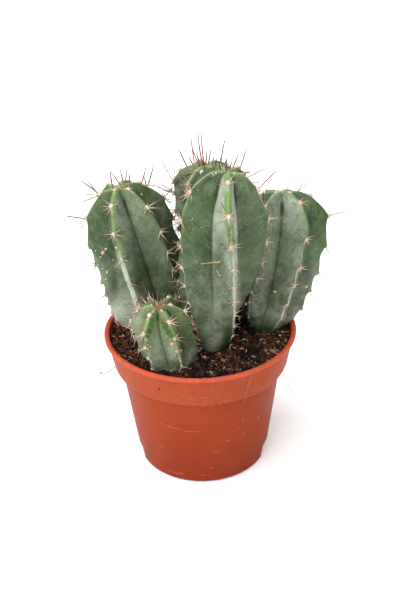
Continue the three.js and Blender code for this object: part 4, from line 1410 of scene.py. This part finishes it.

# %% [markdown]
# The plastic is redder and lighter on the collar and on the lip, which is painted light where they catch it,
# and darker down the wall towards the foot, which is painted shade. So its colour follows the height first,
# and then flow lines, clouds, scuffs and dust are laid on.

# %% Plastic and pot
WALL_TOP, COLLAR_FOOT = 0.066, 0.070
LIP_FOOT, LIP_TOP = 0.0868, 0.0882


def plastic_material():
    """Colour by height, which paints light on the collar and the lip and shade low on the wall, and then the
    marks laid on it.
    """
    plastic = Finish("terracotta_plastic")
    flow = plastic.noise(1.0, 2, 0.5, plastic.scaled((260, 260, 9)))
    cloud = plastic.noise(26, 3, 0.6)
    fine = plastic.noise(1100, 2, 0.5)
    dust = plastic.noise(300, 4, 0.75)
    scuff = plastic.noise(1.0, 3, 0.7, plastic.scaled((170, 170, 520), turn=(0.3, 0.2, 0)), distortion=1.2)
    place = plastic.coordinates.outputs["Object"]
    z = plastic.add("ShaderNodeSeparateXYZ", Vector=place).outputs["Z"]
    marks = plastic.times(plastic.ramp(scuff, 0.70, 0.76), plastic.ramp(cloud, 0.45, 0.6), 0.45)
    colour = plastic.coats(
        # Colour by height: painted shade low on the wall, and painted light on the collar and the lip
        plastic.mix(plastic.ramp(z, 0.0, WALL_TOP), paint(142, 47, 13), paint(163, 60, 23)),
        (plastic.ramp(z, WALL_TOP, COLLAR_FOOT), paint(177, 75, 42)),
        (plastic.ramp(z, LIP_FOOT, LIP_TOP), paint(212, 92, 62)),
        (plastic.ramp(flow, 0.35, 0.7, 0.0, 0.25), paint(148, 56, 24)),
        (plastic.ramp(cloud, 0.4, 0.75, 0.0, 0.3), paint(180, 78, 44)),
        (marks, paint(226, 168, 148)),
        (plastic.ramp(dust, 0.68, 0.78, 0.0, 0.35), paint(224, 160, 140)),
    )
    normal = plastic.bump(flow, 0.0002, 0.25, plastic.bump(fine, 0.00005, 0.35))
    return plastic.finish(colour, plastic.ramp(cloud, 0.3, 0.7, 0.44, 0.58), normal, Specular_IOR_Level=0.1)


PLASTIC = plastic_material()


def put_pot():
    """The profile turned about the upright axis, and held in by the recesses
    everywhere but in the middle of the floor."""
    profile = pot_profile()
    radius, z = profile[:, :1], profile[:, 1:]
    degrees = pot_angles()[None]
    inset = np.zeros_like(radius)
    inset[np.argmax(profile[:, 1]):] = WALL
    limit = recess_radius(z, degrees, inset)
    radius = np.where(radius > 20, np.minimum(radius, limit), radius + 0 * limit)
    angle = np.radians(degrees)
    points = np.stack([radius * np.cos(angle), radius * np.sin(angle), z + 0 * radius], -1)
    flat, faces = closed_grid(points, [0, 0, profile[0, 1]], [0, 0, profile[-1, 1]])
    piece = put_mesh("pot_shell", flat * MM, faces, PLASTIC)
    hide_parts("pot")
    print(piece.name, "has", len(piece.data.polygons), "faces")


put_pot()

# %% [markdown]
# The peat is a dark, crumbly mix of fibres and small lumps. Its solid stays,
# hidden under a finer surface that rises and falls with noise, and on that
# lie crumbs, rusty fibres, tan bark flakes and a few white grains of perlite.
# All of them are joined by kind, and each lump is a small random polyhedron.

# %% Peat surface
PEAT_RADIUS = 56.2
PEAT_RINGS = 90
PEAT_COLUMNS = 300
SKIRT = 6.0
# Height, size, seed and number of waves of each kind of lump
PEAT_LUMPS = ((0.8, 26, 51, 14), (0.9, 8, 52, 24), (0.7, 3.6, 53, 30))


def peat_height(x, y):
    """Level, plus slow heaps, plus lumps at two finer sizes, lower at the wall
    of the pot."""
    flat = np.stack([x, y, 0 * x], -1)
    lumps = sum(height * waves(flat, size, seed, count) for height, size, seed, count in PEAT_LUMPS)
    edge = smoothstep(PEAT_RADIUS - 7, PEAT_RADIUS, np.hypot(x, y))
    return GROUND + 0.3 + lumps * (1 - 0.4 * edge) - 2.2 * edge


def peat_material():
    """Dark crumbs, browner patches and nearly black gaps."""
    peat = Finish("peat")
    crumb = peat.noise(420, 5, 0.7)
    patch = peat.noise(110, 3, 0.6)
    grain = peat.cells(900)
    colour = peat.coats(
        peat.mix(peat.ramp(crumb, 0.3, 0.7), paint(16, 10, 8), paint(58, 38, 28)),
        (peat.ramp(patch, 0.5, 0.75, 0, 0.7), paint(92, 58, 42)),
        (peat.ramp(grain, 0.0, 0.25, 0.5, 0.0), paint(18, 12, 10)),
    )
    return peat.finish(colour, 0.92, peat.bump(crumb, 0.0012, 0.9), Specular_IOR_Level=0.2)


PEAT = peat_material()


def put_peat():
    """Rings that lie closer together towards the wall, and a skirt."""
    share = np.linspace(0.01, 1, PEAT_RINGS) ** 0.7
    radius = (share * PEAT_RADIUS)[:, None]
    angle = (np.arange(PEAT_COLUMNS) * 2 * np.pi / PEAT_COLUMNS)[None]
    x, y = radius * np.cos(angle), radius * np.sin(angle)
    top = np.stack([x, y, peat_height(x, y)], -1)
    skirt = top[-1:].copy()
    skirt[..., 2] = GROUND - SKIRT
    middle = [0, 0, float(peat_height(np.zeros(1), np.zeros(1))[0])]
    flat, faces = closed_grid(np.concatenate([top, skirt]), middle, [0, 0, GROUND - SKIRT], turned=True)
    piece = put_mesh("peat_surface", flat * MM, faces, PEAT)
    print(piece.name, "has", len(piece.data.polygons), "faces")


put_peat()
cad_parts["soil"].data.materials.clear()
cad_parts["soil"].data.materials.append(PEAT)

# %% [markdown]
# The loose matter is thousands of small lumps. Each kind is one mesh: the
# corners of an icosahedron, moved, flattened and turned at random for every
# lump, and all worked out in one go. Twenty flat faces are enough at a size
# of a millimetre.

# %% Scattered places
SPARE = 4
FOOT_CLEAR = 0.72


def open_peat(random, count):
    """Random places on the peat, outside the stems' feet, out of several
    times as many as are needed."""
    radius = PEAT_RADIUS * np.sqrt(random.uniform(0, 1, SPARE * count))
    angle = random.uniform(0, 2 * np.pi, SPARE * count)
    x, y = radius * np.cos(angle), radius * np.sin(angle)
    free = np.ones(len(x), bool)
    for stem in STEMS.values():
        foot = FOOT_CLEAR * crest_radius(stem, 1.0)
        free &= np.hypot(x - stem["x"], y - stem["y"]) > foot
    x, y = x[free][:count], y[free][:count]
    return np.stack([x, y, peat_height(x, y)], -1)

# %% Lumps
GOLDEN = (1 + math.sqrt(5)) / 2
CORNER_PAIRS = [(a, b) for a in (-1, 1) for b in (-GOLDEN, GOLDEN)]
ICO_POINTS = np.array([(a, b, 0) for a, b in CORNER_PAIRS] + [(0, a, b) for a, b in CORNER_PAIRS]
                      + [(b, 0, a) for a, b in CORNER_PAIRS], float)
ICO_POINTS /= np.linalg.norm(ICO_POINTS[0])


def hull_faces(points):
    """Triangles of the convex solid on a few points: every three points that
    have all the others on one side, turned to face out."""
    triples = np.array(list(combinations(range(len(points)), 3)))
    a, b, c = (points[triples[:, i]] for i in range(3))
    normal = np.cross(b - a, c - a)
    heights = np.einsum("tk,pk->tp", normal, points) - np.einsum("tk,tk->t", normal, a)[:, None]
    outward = (heights < 1e-6).all(1)
    inward = (heights > -1e-6).all(1)
    return np.concatenate([triples[outward], triples[inward][:, ::-1]])


LUMP_FACES = hull_faces(ICO_POINTS)
print("a lump has", len(LUMP_FACES), "faces")


def turned_at_random(random, count, level):
    """Rotation matrices from random quaternions (s, i, j, k), which tip only
    a little where the lumps lie level."""
    spin = random.normal(size=(count, 4))
    spin[:, 1:3] *= 0.35 if level else 1
    spin /= np.linalg.norm(spin, axis=1, keepdims=True)
    s, i, j, k = spin.T
    rows = [1 - 2 * (j * j + k * k), 2 * (i * j - s * k), 2 * (i * k + s * j),
            2 * (i * j + s * k), 1 - 2 * (i * i + k * k), 2 * (j * k - s * i),
            2 * (i * k - s * j), 2 * (j * k + s * i), 1 - 2 * (i * i + j * j)]
    return np.stack(rows, -1).reshape(-1, 3, 3)


def put_lumps(name, places, sizes, flatness, material, random, tones=None):
    """Many small lumps: the corners of an icosahedron moved at random,
    flattened, turned and set at their places."""
    count, corner_count = len(places), len(ICO_POINTS)
    corners = ICO_POINTS[None] * random.uniform(0.7, 1.25, (count, corner_count, 1))
    stretch = np.stack([np.ones(count), random.uniform(0.6, 1, count), np.full(count, flatness)], -1)
    matrix = turned_at_random(random, count, level=flatness < 0.5)
    points = np.einsum("nij,npj->npi", matrix, corners * stretch[:, None])
    points = points * sizes[:, None, None] + places[:, None]
    faces = (LUMP_FACES[None] + (np.arange(count) * corner_count)[:, None, None]).reshape(-1, 3)
    piece = put_mesh(name, points * MM, [faces], material, smooth=False)
    tones = random.uniform(0, 1, count) if tones is None else tones
    put_mask(piece, "tone", np.repeat(tones, corner_count))
    print(name, "has", count, "lumps")

# %% Finishes of the loose matter
def crumb_material():
    """Black to brown by each crumb's tone, and tan or pale at its upper end."""
    crumb = Finish("peat_crumbs")
    tone = crumb.mask("tone")
    grit = crumb.noise(1300, 3, 0.7)
    colour = crumb.coats(
        crumb.mix(crumb.ramp(tone, 0.0, 0.75), paint(10, 7, 6), paint(92, 52, 34)),
        (crumb.ramp(tone, 0.75, 0.95), paint(164, 96, 58)),
        (crumb.ramp(tone, 0.95, 1.0), paint(206, 154, 122)),
        (crumb.ramp(grit, 0.3, 0.7, 0, 0.6), paint(20, 13, 11)),
    )
    return crumb.finish(colour, 0.93, crumb.bump(grit, 0.0005, 0.8), Specular_IOR_Level=0.2)


def two_shades(name, light, dark, scale=1200, soft=0.15, relief=0.0):
    """A plain finish: two shades mixed by fine noise, which can also be felt."""
    made = Finish(name)
    grit = made.noise(scale, 3, 0.6)
    colour = made.mix(made.ramp(grit, 0.5 - soft, 0.5 + soft), light, dark)
    normal = made.bump(grit, relief, 0.6) if relief else None
    return made.finish(colour, 0.85, normal, Specular_IOR_Level=0.2)

# %% Crumbs, flakes and perlite
# Pixel, radius in pixels, and how much lighter the crumbs are there; the darkest spots are painted shade
# beside and between the stems' feet
PEAT_TONES_AND_SHADE = (
    (118, 335, 20, -0.05), (273, 351, 11, 0.95), (256, 341, 8, 0.3), (246, 322, 12, -0.7),
    (250, 355, 9, -0.7), (204, 369, 13, -0.5), (235, 368, 9, 0.15), (133, 352, 10, 0.15),
    (293, 338, 8, -0.2),
)
# Pixel and size in mm of single lumps, flakes and grains
BLACK_LUMPS = ((262, 350, 2.8), (232, 353, 2.0), (251, 339, 1.8), (222, 369, 1.6), (124, 340, 2.0))
NAMED_FLAKES = (
    (272, 352, 2.6), (269.5, 350, 1.9), (274.5, 354.5, 1.7), (278, 343, 1.4), (285, 345, 1.6),
    (282.5, 351, 1.4), (268, 357, 1.6), (259.5, 348, 1.7), (276, 356, 1.3), (277.5, 350, 1.7),
    (273, 346, 1.4), (280, 346, 1.2), (266, 355, 1.3), (243, 343, 1.9), (246, 341, 1.6), (262, 342.5, 1.9),
    (264.5, 345, 1.3), (212.5, 366, 1.7), (223.5, 362, 2.1), (225, 365, 1.6), (242.5, 353, 1.1),
    (256, 357, 1.2), (247, 364, 1.2), (205, 361, 1.3), (275, 340, 1.2), (218, 371, 1.4), (238, 366, 1.0),
    (117.5, 340, 1.6), (119, 349, 1.2),
)
NAMED_GRAINS = ((240, 371, 0.7), (282, 333, 1.1), (116.5, 354, 1.0), (201, 352, 0.8), (280, 336, 0.8))

# %% Scatter the loose matter
LEAST_CRUMB = 0.3
CRUMB_LIMIT = 57.0


def peat_place(pixel):
    """The place on the peat that the camera sees at a pixel."""
    ray = ray_through(pixel)
    x, y, _ = (eye + ray * (GROUND * MM - eye[2]) / ray[2]) / MM
    return np.array([x, y, float(peat_height(np.array([x]), np.array([y]))[0])])


def with_named(places, sizes, spots, lift):
    """Adds spots that the photograph shows to scattered places and sizes, and
    lifts them all or, by a list, each."""
    named = np.array([peat_place(pixel) for *pixel, _ in spots])
    return np.concatenate([places, named]) + lift, np.append(sizes, [size for *_, size in spots])


def put_crumbs(random, count):
    """Crumbs get smaller towards the wall. Their tones are mostly dark, and change by bell curves in the
    picture, the darkest of which are painted shade beside and between the stems' feet; one in twenty may be
    pale."""
    crumbs = open_peat(random, count)
    sizes = random.gamma(2.2, 0.32, len(crumbs)) + LEAST_CRUMB
    room = CRUMB_LIMIT - np.hypot(crumbs[:, 0], crumbs[:, 1])
    sizes = np.minimum(sizes, LEAST_CRUMB + 0.8 * room)
    crumbs[:, 2] += 0.3 * sizes
    tones = random.uniform(0, 1, len(crumbs)) ** 1.5
    pixels, _ = seen_at(crumbs * MM)
    # Bell curves below 0 paint the shade beside and between the stems' feet
    for x, y, radius, lighter in PEAT_TONES_AND_SHADE:
        bell = np.exp(-(((pixels - (x, y)) / radius) ** 2).sum(1))
        tones += lighter * bell * random.uniform(0.5, 1.4, len(crumbs))
    tones = np.clip(tones, 0, np.where(random.uniform(0, 1, len(crumbs)) < 0.05, 1, 0.74))
    tones = np.append(tones, np.zeros(len(BLACK_LUMPS)))
    lift = np.append(np.zeros(len(crumbs)), np.full(len(BLACK_LUMPS), 0.5))[:, None] * [0, 0, 1]
    crumbs, sizes = with_named(crumbs, sizes, BLACK_LUMPS, lift)
    put_lumps("peat_crumbs", crumbs, sizes, 0.8, crumb_material(), random, tones)


def scatter(name, count, low, high, spots, lift, flatness, material):
    """Lumps between two sizes on the open peat, and those at named pixels."""
    places = open_peat(random, count)
    places, sizes = with_named(places, random.uniform(low, high, len(places)), spots, [0, 0, lift])
    put_lumps(name, places, sizes, flatness, material, random)


random = np.random.default_rng(61)
put_crumbs(random, 4600)
TAN_BARK = two_shades("tan_bark", paint(206, 172, 128), paint(150, 100, 66), 700, 0.2, 0.0003)
scatter("bark_flakes", 55, 0.7, 1.7, NAMED_FLAKES, 1.3, 0.2, TAN_BARK)
PERLITE = two_shades("perlite", paint(238, 240, 240), paint(196, 204, 206), 700, 0.2, 0.0003)
scatter("perlite_grains", 12, 0.5, 0.9, NAMED_GRAINS, 1.0, 0.8, PERLITE)

# %% [markdown]
# Peat is half-rotted moss, so fibres stick out of it everywhere. Most are
# brown and a few are pale straw.

# %% Peat fibres
FIBRE_RINGS, FIBRE_SIDES = 5, 4
FIBRE_LIFT = 1.1


def fibre_material():
    """Brown by each fibre's tone, and straw at its upper end."""
    fibre = Finish("peat_fibres")
    tone = fibre.mask("tone")
    colour = fibre.mix(fibre.ramp(tone, 0.0, 0.6), paint(46, 28, 22), paint(158, 92, 60))
    colour = fibre.mix(fibre.ramp(tone, 0.7, 0.95), colour, paint(224, 178, 130))
    return fibre.finish(colour, 0.85, Specular_IOR_Level=0.2)


def put_fibres(count, seed):
    """Short bowed tubes that lie in any direction and rise or dip a little."""
    random = np.random.default_rng(seed)
    middle = open_peat(random, count)
    count = len(middle)
    heading = random.uniform(0, 2 * np.pi, count)
    rise = random.normal(0, 0.25, count)
    half = random.uniform(0.8, 4.0, count)[:, None] / 2
    way = np.stack([np.cos(heading), np.sin(heading), rise], -1)
    middle[:, 2] += FIBRE_LIFT
    bows = random.normal(0, 0.12, (count, 3)) * half * 2
    radii = random.uniform(0.14, 0.34, count)
    points, _ = tubes(middle - way * half, middle + way * half, bows, radii, FIBRE_SIDES, FIBRE_RINGS, 0.3)
    faces = tube_faces(count, FIBRE_SIDES, FIBRE_RINGS)
    piece = put_mesh("peat_fibres", points * MM, faces, fibre_material())
    put_mask(piece, "tone", np.repeat(random.uniform(0, 1, count), FIBRE_RINGS * FIBRE_SIDES))
    print(piece.name, "has", count, "fibres")


put_fibres(1500, 71)

# %% [markdown]
# Small marks that the photograph shows, each placed by its pixels: corky
# spots, scratches and scraps on the skins, scuffs and dust on the pot, and
# rootlets that hang over its lip. Lines are strands, which are thin tubes
# along a path.

# %% Strands
STRAND_SIDES = 4
FINER = 4
NEAR_REACH, FAR_REACH, REACH_STEPS = 0.42, 0.6, 6000
FLOOR_EDGE = 39


def pot_place(pixel, lift=0.1):
    """Where the ray through a pixel first comes within the lift of the pot's
    outer wall."""
    ray = ray_through(pixel)
    reach = np.linspace(NEAR_REACH, FAR_REACH, REACH_STEPS)
    path = (eye + ray * reach[:, None]) / MM
    profile = pot_profile()
    wall = profile[: np.argmax(profile[:, 1]) + 1]
    rising = wall[np.argmax(wall[:, 0] > FLOOR_EDGE):]
    radius = np.interp(path[:, 2], rising[:, 1], rising[:, 0]) + lift
    inside = (np.hypot(path[:, 0], path[:, 1]) < radius) & (path[:, 2] < POT_HEIGHT)
    return path[np.argmax(inside)]


def at_depth_of(pixel, place):
    """The point behind a pixel that is as far from the camera as a place."""
    ray = ray_through(pixel)
    return (eye + ray * (((place * MM - eye) @ forward) / (ray @ forward))) / MM

# %% Strands as one mesh
def strand(path, radius):
    """A tube along a path of points, with the radius given at each point."""
    way = np.gradient(path, axis=0)
    ring = rings_round(way / np.linalg.norm(way, axis=1, keepdims=True), STRAND_SIDES)
    return path[:, None] + ring * np.broadcast_to(radius, len(path))[:, None, None]


def put_strands(name, paths, radii, material):
    """All the strands of a kind as one piece."""
    points, faces, start = [], [], 0
    ring = np.arange(STRAND_SIDES)
    for path, radius in zip(paths, radii):
        rows = len(path)
        faces += [grid_faces(rows, STRAND_SIDES, start), start + ring[::-1][None],
                  start + (rows - 1) * STRAND_SIDES + ring[None]]
        points.append(strand(path, radius).reshape(-1, 3))
        start += rows * STRAND_SIDES
    put_mesh(name, np.concatenate(points) * MM, faces, material)
    print(name, "has", len(paths), "strands")


def finer(line):
    """Pixels along a bent line, with more of them on every stretch."""
    corners = pairs(line)
    knots = np.arange(len(corners))
    at = np.linspace(0, len(corners) - 1, (len(corners) - 1) * FINER + 1)
    return np.stack([np.interp(at, knots, corners[:, i]) for i in (0, 1)], -1)


def on_skin(name, pixels, lift):
    """A line of pixels laid on a stem's skin, with every place only once, so
    that the line never stands still."""
    places = np.array([skin_place(name, pixel) for pixel in finer(pixels)])
    _, first_seen = np.unique(places.round(4), axis=0, return_index=True)
    places = places[np.sort(first_seen)]
    towards_eye = eye / MM - places
    return places + lift * towards_eye / np.linalg.norm(towards_eye, axis=1, keepdims=True)

# %% Marks on the skins
# Pixel and size in mm
CORK_SPOTS = {
    "stem_left": (
        (104, 251.7, 1.4), (105.5, 250, 1.0), (97, 250.5, 0.6), (100.8, 258, 0.7), (98.2, 266, 0.6),
        (101.8, 269.6, 0.8), (106.9, 272.7, 0.9), (107.4, 279.5, 0.6), (114.6, 259.4, 0.5),
        (116.6, 266.3, 0.5), (115.6, 247.4, 1.0), (142, 194.6, 0.9),
    ),
    "stem_centre": ((230.5, 250, 0.9), (231.5, 247.5, 0.7), (196.5, 262, 0.4)),
    "stem_right": ((274.2, 291.6, 1.3), (305.5, 286.5, 1.1)),
    "stem_small": (
        (171.6, 344, 1.0), (145.7, 340, 0.7), (149.5, 345, 0.5), (151.5, 347, 0.5), (176.5, 353, 0.8),
        (181.5, 350.5, 0.8), (180, 359, 0.7), (182.5, 366, 0.7), (181, 371.5, 0.7), (147.5, 341.5, 0.5),
    ),
}
# Lines of pixels, x and y in turn
SCRATCHES = {
    "stem_centre": (
        (189, 222, 197, 212, 205, 202), (188, 230, 198, 228, 209, 226),
        (235, 231.5, 244, 226.5, 254, 220.5, 264, 215),
    ),
    "stem_left": ((122, 300, 121, 292, 123, 286), (118, 296, 120, 288, 124, 280)),
}
SCRAPS = {
    "stem_centre": ((202, 264.5, 208, 263.7, 214, 263.2, 220, 262.5), (216, 271, 218, 273, 220, 276)),
}
# Young areoles, still close together on the crowns: pixel and size in mm
YOUNG_FELT = {
    "stem_left": ((126, 187.6, 0.8), (130, 187.8, 1.2), (133.5, 188.6, 0.8), (121, 187.5, 0.6)),
    "stem_centre": (
        (222, 171, 1.2), (216.5, 172.5, 1.0), (226, 181.5, 1.3), (229, 171.5, 0.9), (212.5, 173, 1.2),
        (233.5, 172.5, 1.0), (219, 170, 0.8), (225.5, 170.5, 0.9),
    ),
    "stem_right": ((283.5, 190.5, 0.9), (286, 192, 0.6)),
    "stem_back": (
        (173, 177.5, 0.8), (193.5, 162.5, 0.9), (204.5, 163, 1.1), (210, 163.5, 0.8), (221, 163.5, 1.2),
        (225, 165, 0.8), (197, 169, 1.0),
    ),
    "stem_small": (
        (157, 307.5, 1.1), (153, 311, 1.0), (151, 315.5, 0.7), (161, 309.5, 1.1), (165.5, 307, 0.8),
        (151, 303.5, 0.9), (146, 319, 0.8),
    ),
}


def put_spots(name, table, growth, flatness, material):
    """Lumps at a table's pixels on the skins, their sizes times a factor."""
    spots = [(skin_place(stem, pixel), size) for stem, row in table.items() for *pixel, size in row]
    places, sizes = (np.array(column) for column in zip(*spots))
    put_lumps(name, places, growth * sizes, flatness, material, random)


def lines_on_skins(table, lift):
    """A table's lines of pixels as paths, a little above the skins."""
    return [on_skin(stem, line, lift) for stem, lines in table.items() for line in lines]


put_spots("young_felt", YOUNG_FELT, 0.65, 0.8, FELT)
CORK = two_shades("corky_spots", paint(240, 212, 170), paint(204, 156, 110))
put_spots("corky_spots", CORK_SPOTS, 1.25, 0.7, CORK)

paths = lines_on_skins(SCRATCHES, 0.12)
SCRATCH = two_shades("scratch", paint(190, 200, 170), paint(150, 164, 130))
put_strands("scratches", paths, [0.13] * len(paths), SCRATCH)
paths = lines_on_skins(SCRAPS, 0.4)
radii = [np.linspace(0.35, 0.5, len(path)) for path in paths]
DRY_SCRAP = two_shades("dry_scrap", paint(228, 198, 152), paint(190, 146, 102))
put_strands("dry_scraps", paths, radii, DRY_SCRAP)

# %% Marks on the pot
# Pixels of dust on the lip and the collar, and lines of pixels of scuffs
LIP_DUST = (
    (190, 379.3), (193, 379.8), (196, 379), (199, 380.2), (202, 379.4), (206, 380.3), (209, 379.6),
    (213, 380.1), (204, 378.4), (197, 381.2), (125, 342), (128, 347), (236, 376),
)
SCUFFS = (
    (160, 423, 170, 427, 182, 430), (184, 431, 192, 431.6, 200, 432), (243, 418, 243.6, 423),
    (151, 407, 153, 410), (246, 398, 249, 396), (168, 470, 176, 473, 185, 474),
    (273.5, 358, 272.5, 364, 271, 370), (222, 401, 232, 400), (140, 398, 146, 401), (258, 415, 258.5, 420),
    (214, 452, 219, 451), (180, 395, 186, 397), (190, 398.5, 197, 398), (199, 397, 207, 398.5),
    (176, 391, 179, 394), (211, 389, 214, 392), (185, 388, 187, 391), (236, 429, 239, 427),
    (243, 430, 244, 436), (226, 440, 229, 441), (160, 446, 165, 447), (200, 475, 206, 475.5),
    (210, 468, 214, 467), (193, 403.6, 197, 404.4), (199, 404.8, 205, 405.2), (209, 405, 215, 405.2),
    (218, 404.6, 222, 404.2), (226, 403.6, 229, 403), (172, 399, 175, 400.4), (203, 402, 205, 403),
    (212, 402.6, 213, 404),
)
COLLAR_FIBRE = (250, 374, 249.3, 381, 247, 389, 244.5, 396, 242.8, 405)
LEFT_ROOTLET = (122, 360.5, 118, 364.5, 114, 368, 110, 371, 106, 373, 102, 373.2, 99.5, 372.6)
HAIR_ROOT = (279, 368)
RIGHT_HAIR = (282, 370, 285.5, 376, 288.5, 383, 290.8, 389, 292, 394)
SPECK = (159, 389)

dust = np.array([pot_place(pixel) for pixel in LIP_DUST])
PALE_DUST = two_shades("dust", paint(246, 226, 214), paint(226, 190, 174))
dust_sizes = random.uniform(0.18, 0.36, len(dust))
put_lumps("lip_dust", dust, dust_sizes, 0.5, PALE_DUST, random)
DARK_SPECK = two_shades("speck", paint(52, 30, 24), paint(84, 46, 34))
speck = pot_place(SPECK)[None]
put_lumps("collar_speck", speck, np.array([0.72]), 0.8, DARK_SPECK, random)
paths = [np.array([pot_place(pixel, 0.02) for pixel in finer(line)]) for line in SCUFFS]
SCUFF = two_shades("scuff", paint(226, 156, 128), paint(204, 116, 84))
put_strands("scuffs", paths, [0.1] * len(paths), SCUFF)


def hanging(pixels, root):
    """A path through pixels, all as far from the camera as its root is."""
    start = pot_place(root, 0.5)
    return np.array([at_depth_of(pixel, start) for pixel in finer(pixels)])


collar_path = np.array([pot_place(pixel, 0.35) for pixel in finer(COLLAR_FIBRE)])
left_path, right_path = hanging(LEFT_ROOTLET, LEFT_ROOTLET[:2]), hanging(RIGHT_HAIR, HAIR_ROOT)
swollen = 0.32 + 0.35 * np.exp(-(((np.linspace(0, 1, len(left_path)) - 0.93) / 0.06) ** 2))
ROOTLET = two_shades("rootlet", paint(196, 150, 116), paint(146, 98, 70))
put_strands("rootlets", [collar_path, left_path, right_path], [0.22, swollen, 0.12], ROOTLET)

# %% [markdown]
# Light and floor. The photograph was taken in soft, even light on white. A
# white world gives the fill, one wide lamp high at the front left models the
# ribs, and a large pale floor catches a faint shadow.

# %% Floor and light
FLOOR_HALF = 4.0
FLOOR_WHITE = (0.96, 0.96, 0.96, 1)
KEY_PLACE, KEY_SPREAD, KEY_STRENGTH = (-0.65, -0.55, 1.0), 90, 3.7
FILL_STRENGTH = 0.9


def put_floor():
    """One large pale square, which is kept apart from the plant's body."""
    mesh = bpy.data.meshes.new("floor")
    corners = [(x * FLOOR_HALF, y * FLOOR_HALF, 0) for x, y in ((-1, -1), (1, -1), (1, 1), (-1, 1))]
    mesh.from_pydata(corners, [], [(0, 1, 2, 3)])
    floor = bpy.data.objects.new("floor", mesh)
    mesh.materials.append(Finish("pale_floor").finish(FLOOR_WHITE, 0.9, Specular_IOR_Level=0.0))
    bpy.context.scene.collection.objects.link(floor)


def put_sun(name, place, spread, strength):
    """A lamp so far and so wide that it lights everything alike. It looks
    along its own -Z axis, from its place to the origin."""
    data = bpy.data.lights.new(name, "SUN")
    data.energy = strength
    data.angle = math.radians(spread)
    way = -np.array(place, float)
    way /= np.linalg.norm(way)
    across = np.cross(way, [0, 0, 1.0])
    across /= np.linalg.norm(across)
    stand(bpy.data.objects.new(name, data), across, np.cross(across, way), -way, place)


put_floor()
put_sun("key", KEY_PLACE, KEY_SPREAD, KEY_STRENGTH)

world = bpy.data.worlds.new("studio")
world.use_nodes = True
background = world.node_tree.nodes["Background"]
background.inputs["Color"].default_value = (1, 1, 1, 1)
background.inputs["Strength"].default_value = FILL_STRENGTH
bpy.context.scene.world = world
bpy.context.scene.view_settings.view_transform = "Standard"
